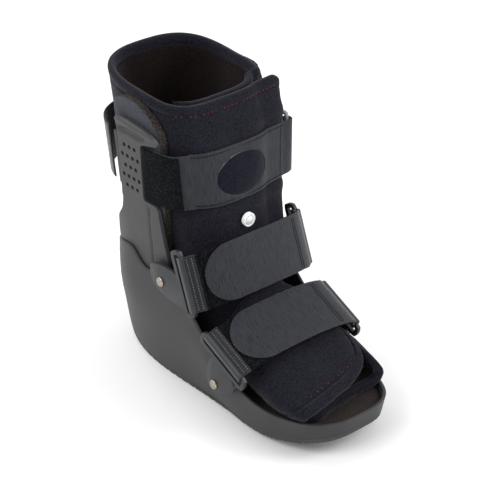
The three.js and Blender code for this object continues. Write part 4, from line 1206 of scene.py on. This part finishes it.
def strap_stitches():
    """Dark stitches along both edges of the calf strap's front, and across it at the fold."""
    out = GAP + WEBBING + 0.25
    spots = []
    for z in (CALF_LOW + 2.6, CALF_LOW + STRAP_WIDTH - 2.6):
        for angle in steps(138, 46, 60):
            a, b = Vector(flap_point(angle, z, out)), Vector(flap_point(angle - 0.6, z, out))
            spots.append((a, b - a))
    for z in steps(CALF_LOW + 3, CALF_LOW + STRAP_WIDTH - 3, 18):
        spots.append((Vector(flap_point(47.5, z, out)), Vector((0, 0, 1))))
    stitches("calf_strap_stitches", spots, 1.1, 0.35, THREAD_DARK)


def flap_y(x, z):
    """The flap's front surface at a place across and up."""
    share = min(0.98, abs(x) / leg_half(z))
    return LEG_Y - leg_row(z, "front") * CALF_DEPTH / 2 * oval(share, leg_row(z, "corner"))


def pump_dome():
    """The hand pump under the cloth: a low soft dome that fills the strap's window."""
    bm = bmesh.new()
    bmesh.ops.create_uvsphere(bm, u_segments=72, v_segments=40, radius=1)
    for vert in bm.verts:
        across, up, out = vert.co.x, vert.co.y, max(0.0, vert.co.z)
        x = WINDOW_X + across * (WINDOW_HALF + DOME_OVER)
        z = WINDOW_Z + up * (WINDOW_TALL + DOME_OVER)
        rise = GAP + DOME_RISE * out**0.9 + 0.35 * wobble(x, 0, z, 9) * out
        vert.co = Vector((x, flap_y(x, z) - rise, z)) * MM
    bmesh.ops.recalc_face_normals(bm, faces=bm.faces)
    piece = placed(bm, "pump_dome_cloth", DOME_CLOTH, ["pump_dome"], 180)


# Turned profiles from the middle of the face: out as a share of the radius, and up in millimetres
VALVE_PROFILE = table(
    "out up",
    (0, 0.1),
    (0.3, 0.1),
    (0.36, -0.15),
    (0.42, -0.45),
    (0.8, -0.45),
    (0.86, 0),
    (0.95, -0.05),
    (1, -0.6),
    (1, -3.4),
    (0, -3.4),
)
RIVET_SHANK = 4.8
RIVET_PROFILE = table(
    "out up",
    (0, 0),
    (0.45, -0.12),
    (0.75, -0.45),
    (0.93, -0.9),
    (1, -1.4),
    (1, -1.8),
    (RIVET_SHANK / RIVET_HEAD, -1.8),
    (RIVET_SHANK / RIVET_HEAD, -9),
)


def turned(profile, radius, count, face, angle, axis):
    """A turned solid with its face at a place in metres, tipped by an angle about an axis."""
    bm = bmesh.new()
    verts = [bm.verts.new((row["out"] * radius, 0, row["up"])) for row in profile]
    edges = [bm.edges.new(pair) for pair in zip(verts, verts[1:])]
    bmesh.ops.spin(bm, geom=verts + edges, cent=(0, 0, 0), axis=(0, 0, 1), angle=2 * math.pi, steps=count,
                   use_merge=True)
    bmesh.ops.remove_doubles(bm, verts=bm.verts, dist=1e-4)
    bmesh.ops.holes_fill(bm, edges=[e for e in bm.edges if e.is_boundary], sides=0)
    tip = Matrix.Rotation(math.radians(angle), 4, axis)
    bmesh.ops.transform(bm, matrix=Matrix.Translation(face) @ tip @ Matrix.Scale(MM, 4), verts=bm.verts)
    bmesh.ops.recalc_face_normals(bm, faces=bm.faces)
    return bm


def air_valve():
    """The white valve knob: a turned disc with a raised rim, a centre button and plain marks round it."""
    low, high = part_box("air_valve")
    radius = (high.x - low.x) / 2 / MM
    face = Vector(((low.x + high.x) / 2, low.y, (low.z + high.z) / 2))
    bm = turned(VALVE_PROFILE, radius, 48, face, 90, "X")
    placed(bm, "air_valve_knob", VALVE_PLASTIC, ["air_valve"], 40)
    marks = []
    for k in range(24):
        if k % 6:
            c, s = swing(15 * k)
            spot = face / MM + Vector((0.62 * radius * c, 0.42, 0.62 * radius * s))
            marks.append((spot, (-s, 0, c)))
    stitches("air_valve_marks", marks, 0.5, 0.22, THREAD_GREY)


def footbed():
    """The foam insole, a little uneven."""
    bm = remeshed(copied("footbed"), 1.8, 3)
    uneven(bm, 0.2, 20)
    piece = placed(bm, "footbed_foam", INSOLE_FOAM, ["footbed"], 180)


def pad(side):
    """A foam pad beside the calf: cloth on its outer face, the cut foam showing along its edge."""
    node_name = "pad_" + side
    sign = 1 if side == "left" else -1
    bm = remeshed(copied(node_name), 0.9, 2)
    bm.normal_update()
    for face in bm.faces:
        face.material_index = 0 if face.normal.x * sign > 0.88 else 1
    piece = placed(bm, node_name + "_foam", [PAD_CLOTH, PAD_FOAM], [node_name], 180)


# Upright's corners: ahead of the leg's axis as a share of CALF_DEPTH / 2, height as one of BOOT_HEIGHT
UPRIGHT = table(
    "ahead height",
    (0.811, 0.843),
    (0.717, 0.868),
    (0.491, 0.882),
    (0.208, 0.889),
    (-0.075, 0.889),
    (-0.245, 0.882),
    (-0.226, 0.843),
    (-0.198, 0.818),
    (-0.198, 0.6),
    (-0.264, 0.557),
    (-0.453, 0.514),
    (-0.547, 0.45),
    (-0.566, 0.35),
    (0.755, 0.35),
    (0.821, 0.443),
    (0.717, 0.621),
    (0.623, 0.632),
    (0.368, 0.632),
    (0.387, 0.825),
)
STEM = 0.095
HOLE_ROWS = 5
HOLE_ROW_PITCH = 9.8
HOLE_LOW = 0.656  # lowest row, as a share of BOOT_HEIGHT
HOLE_RIM = 0.6  # how much wider each hole is at its rounded edge
# Moulded relief in millimetres: a scoop and a rib under the head, and a lip along the blade's front edge
SCOOP_Y = 77
SCOOP_Z = 237
SCOOP_LONG = 20
SCOOP_TALL = 3.6
SCOOP_DEEP = 2.2
RIB_Z = 243.2
BLADE_TOP = 172
LIP_Y = 59
LIP_SLOPE = 0.055


def rounded(corners, radius, count=5):
    """An outline with its corners rounded by short curves."""
    points = []
    n = len(corners)
    for k, corner in enumerate(corners):
        here = Vector(corner)
        before, after = Vector(corners[k - 1]), Vector(corners[(k + 1) % n])
        r = min(radius, (before - here).length / 2.05, (after - here).length / 2.05)
        a = here + (before - here).normalized() * r
        b = here + (after - here).normalized() * r
        for t in steps(0, 1, count):
            points.append((1 - t) ** 2 * a + 2 * t * (1 - t) * here + t * t * b)
    return points


def extruded(bm, faces, length):
    """Gives flat faces a thickness along X, in millimetres."""
    made = bmesh.ops.extrude_face_region(bm, geom=faces)["geom"]
    bmesh.ops.translate(bm, vec=(length, 0, 0), verts=[g for g in made if isinstance(g, bmesh.types.BMVert)])
    bmesh.ops.recalc_face_normals(bm, faces=bm.faces)
    return bm


def upright_relief(y, z):
    """How far the upright's face is raised at a place."""
    ahead = SCOOP_Y - y
    away = math.hypot(ahead / SCOOP_LONG, (z - SCOOP_Z - 0.03 * ahead) / SCOOP_TALL)
    edge = LIP_Y + LIP_SLOPE * (BLADE_TOP - z)
    lip = 0.8 * smooth(edge, edge - 2, y) - 1.4 * bell(y, edge + 1.2, 1.3)
    rib = 0.8 * bell(z, RIB_Z - 0.06 * ahead, 1.5)
    return rib - SCOOP_DEEP * smooth(1.15, 0.7, away) + lip * smooth(BLADE_TOP + 4, BLADE_TOP - 2, z)


def upright(side):
    """The plastic upright: a T-shaped head, a perforated stem and a wide blade that runs into the shell."""
    sign = 1 if side == "left" else -1
    node_name = "upright_" + side
    corners = [(LEG_Y - row["ahead"] * CALF_DEPTH / 2, row["height"] * BOOT_HEIGHT) for row in UPRIGHT]
    (low_y, high_y), (low_z, high_z) = [(min(places) - 1, max(places) + 1) for places in zip(*corners)]
    bm = bmesh.new()
    bmesh.ops.create_grid(bm, x_segments=round(high_y - low_y), y_segments=round(high_z - low_z), size=1)
    for vert in bm.verts:
        along, up = (vert.co.x + 1) / 2, (vert.co.y + 1) / 2
        vert.co = (0, lerp(low_y, high_y, along), lerp(low_z, high_z, up))
    extruded(bm, bm.faces[:], UPRIGHT_WALL)
    piece = placed(bm, node_name + "_plate", UPRIGHT_PLASTIC, [node_name], 50)
    outline = bmesh.new()
    face = outline.faces.new([outline.verts.new((-2, *point)) for point in rounded(corners, 4)])
    cut(piece, extruded(outline, [face], 8), "INTERSECT")
    holes = bmesh.new()
    radius = HOLE / 2 + HOLE_RIM
    for row in range(HOLE_ROWS):
        count = 4 if row % 2 else 3
        z = HOLE_LOW * BOOT_HEIGHT + row * HOLE_ROW_PITCH
        for k in range(count):
            y = LEG_Y - STEM * CALF_DEPTH / 2 + (k - (count - 1) / 2) * HOLE_PITCH
            place = Matrix.Translation((0, y, z)) @ Matrix.Rotation(math.pi / 2, 4, "Y")
            bmesh.ops.create_cone(holes, cap_ends=True, segments=14, radius1=radius, radius2=radius,
                                  depth=16, matrix=place)
    cut(piece, holes)
    for vert in piece.data.vertices:
        depth, y, z = vert.co
        x = leg_side(y, z, BAND_OUT + GAP + depth) + upright_relief(y, z) * depth / UPRIGHT_WALL
        vert.co = Vector((sign * x, y, z)) * MM
    if sign < 0:
        piece.data.flip_normals()
    shade(piece, 50)
    modify(piece, "BEVEL", width=0.45 * MM, segments=2, limit_method="ANGLE", angle_limit=math.radians(60))


def rivet(node_name):
    """A domed rivet head on its shank."""
    low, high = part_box(node_name)
    sign = 1 if low.x > 0 else -1
    face = Vector((high.x if sign > 0 else low.x, (low.y + high.y) / 2, (low.z + high.z) / 2))
    bm = turned(RIVET_PROFILE, RIVET_HEAD / 2, 24, face, sign * 90, "Y")
    placed(bm, node_name + "_head", RIVET_NICKEL, [node_name], 50)


stage()
shell()
crisp("outsole", TREAD_RUBBER, 0.4)
footbed()
for side in ("left", "right"):
    crisp("ankle_tab_" + side, TAB_PLASTIC, 0.6)
    crisp("forefoot_tab_" + side, TAB_PLASTIC, 0.6)
    upright(side)
    rivet("ankle_rivet_" + side)
    rivet("forefoot_rivet_" + side)
    pad(side)
liner()
calf_flap()
foot_flap()
arch_straps(ANKLE, "ankle", 33)
arch_straps(FOREFOOT, "forefoot", 30)
calf_straps()
hem_stitches()
strap_stitches()
pump_dome()
air_valve()
crisp("calf_ring", RING_PLASTIC, 0.6)
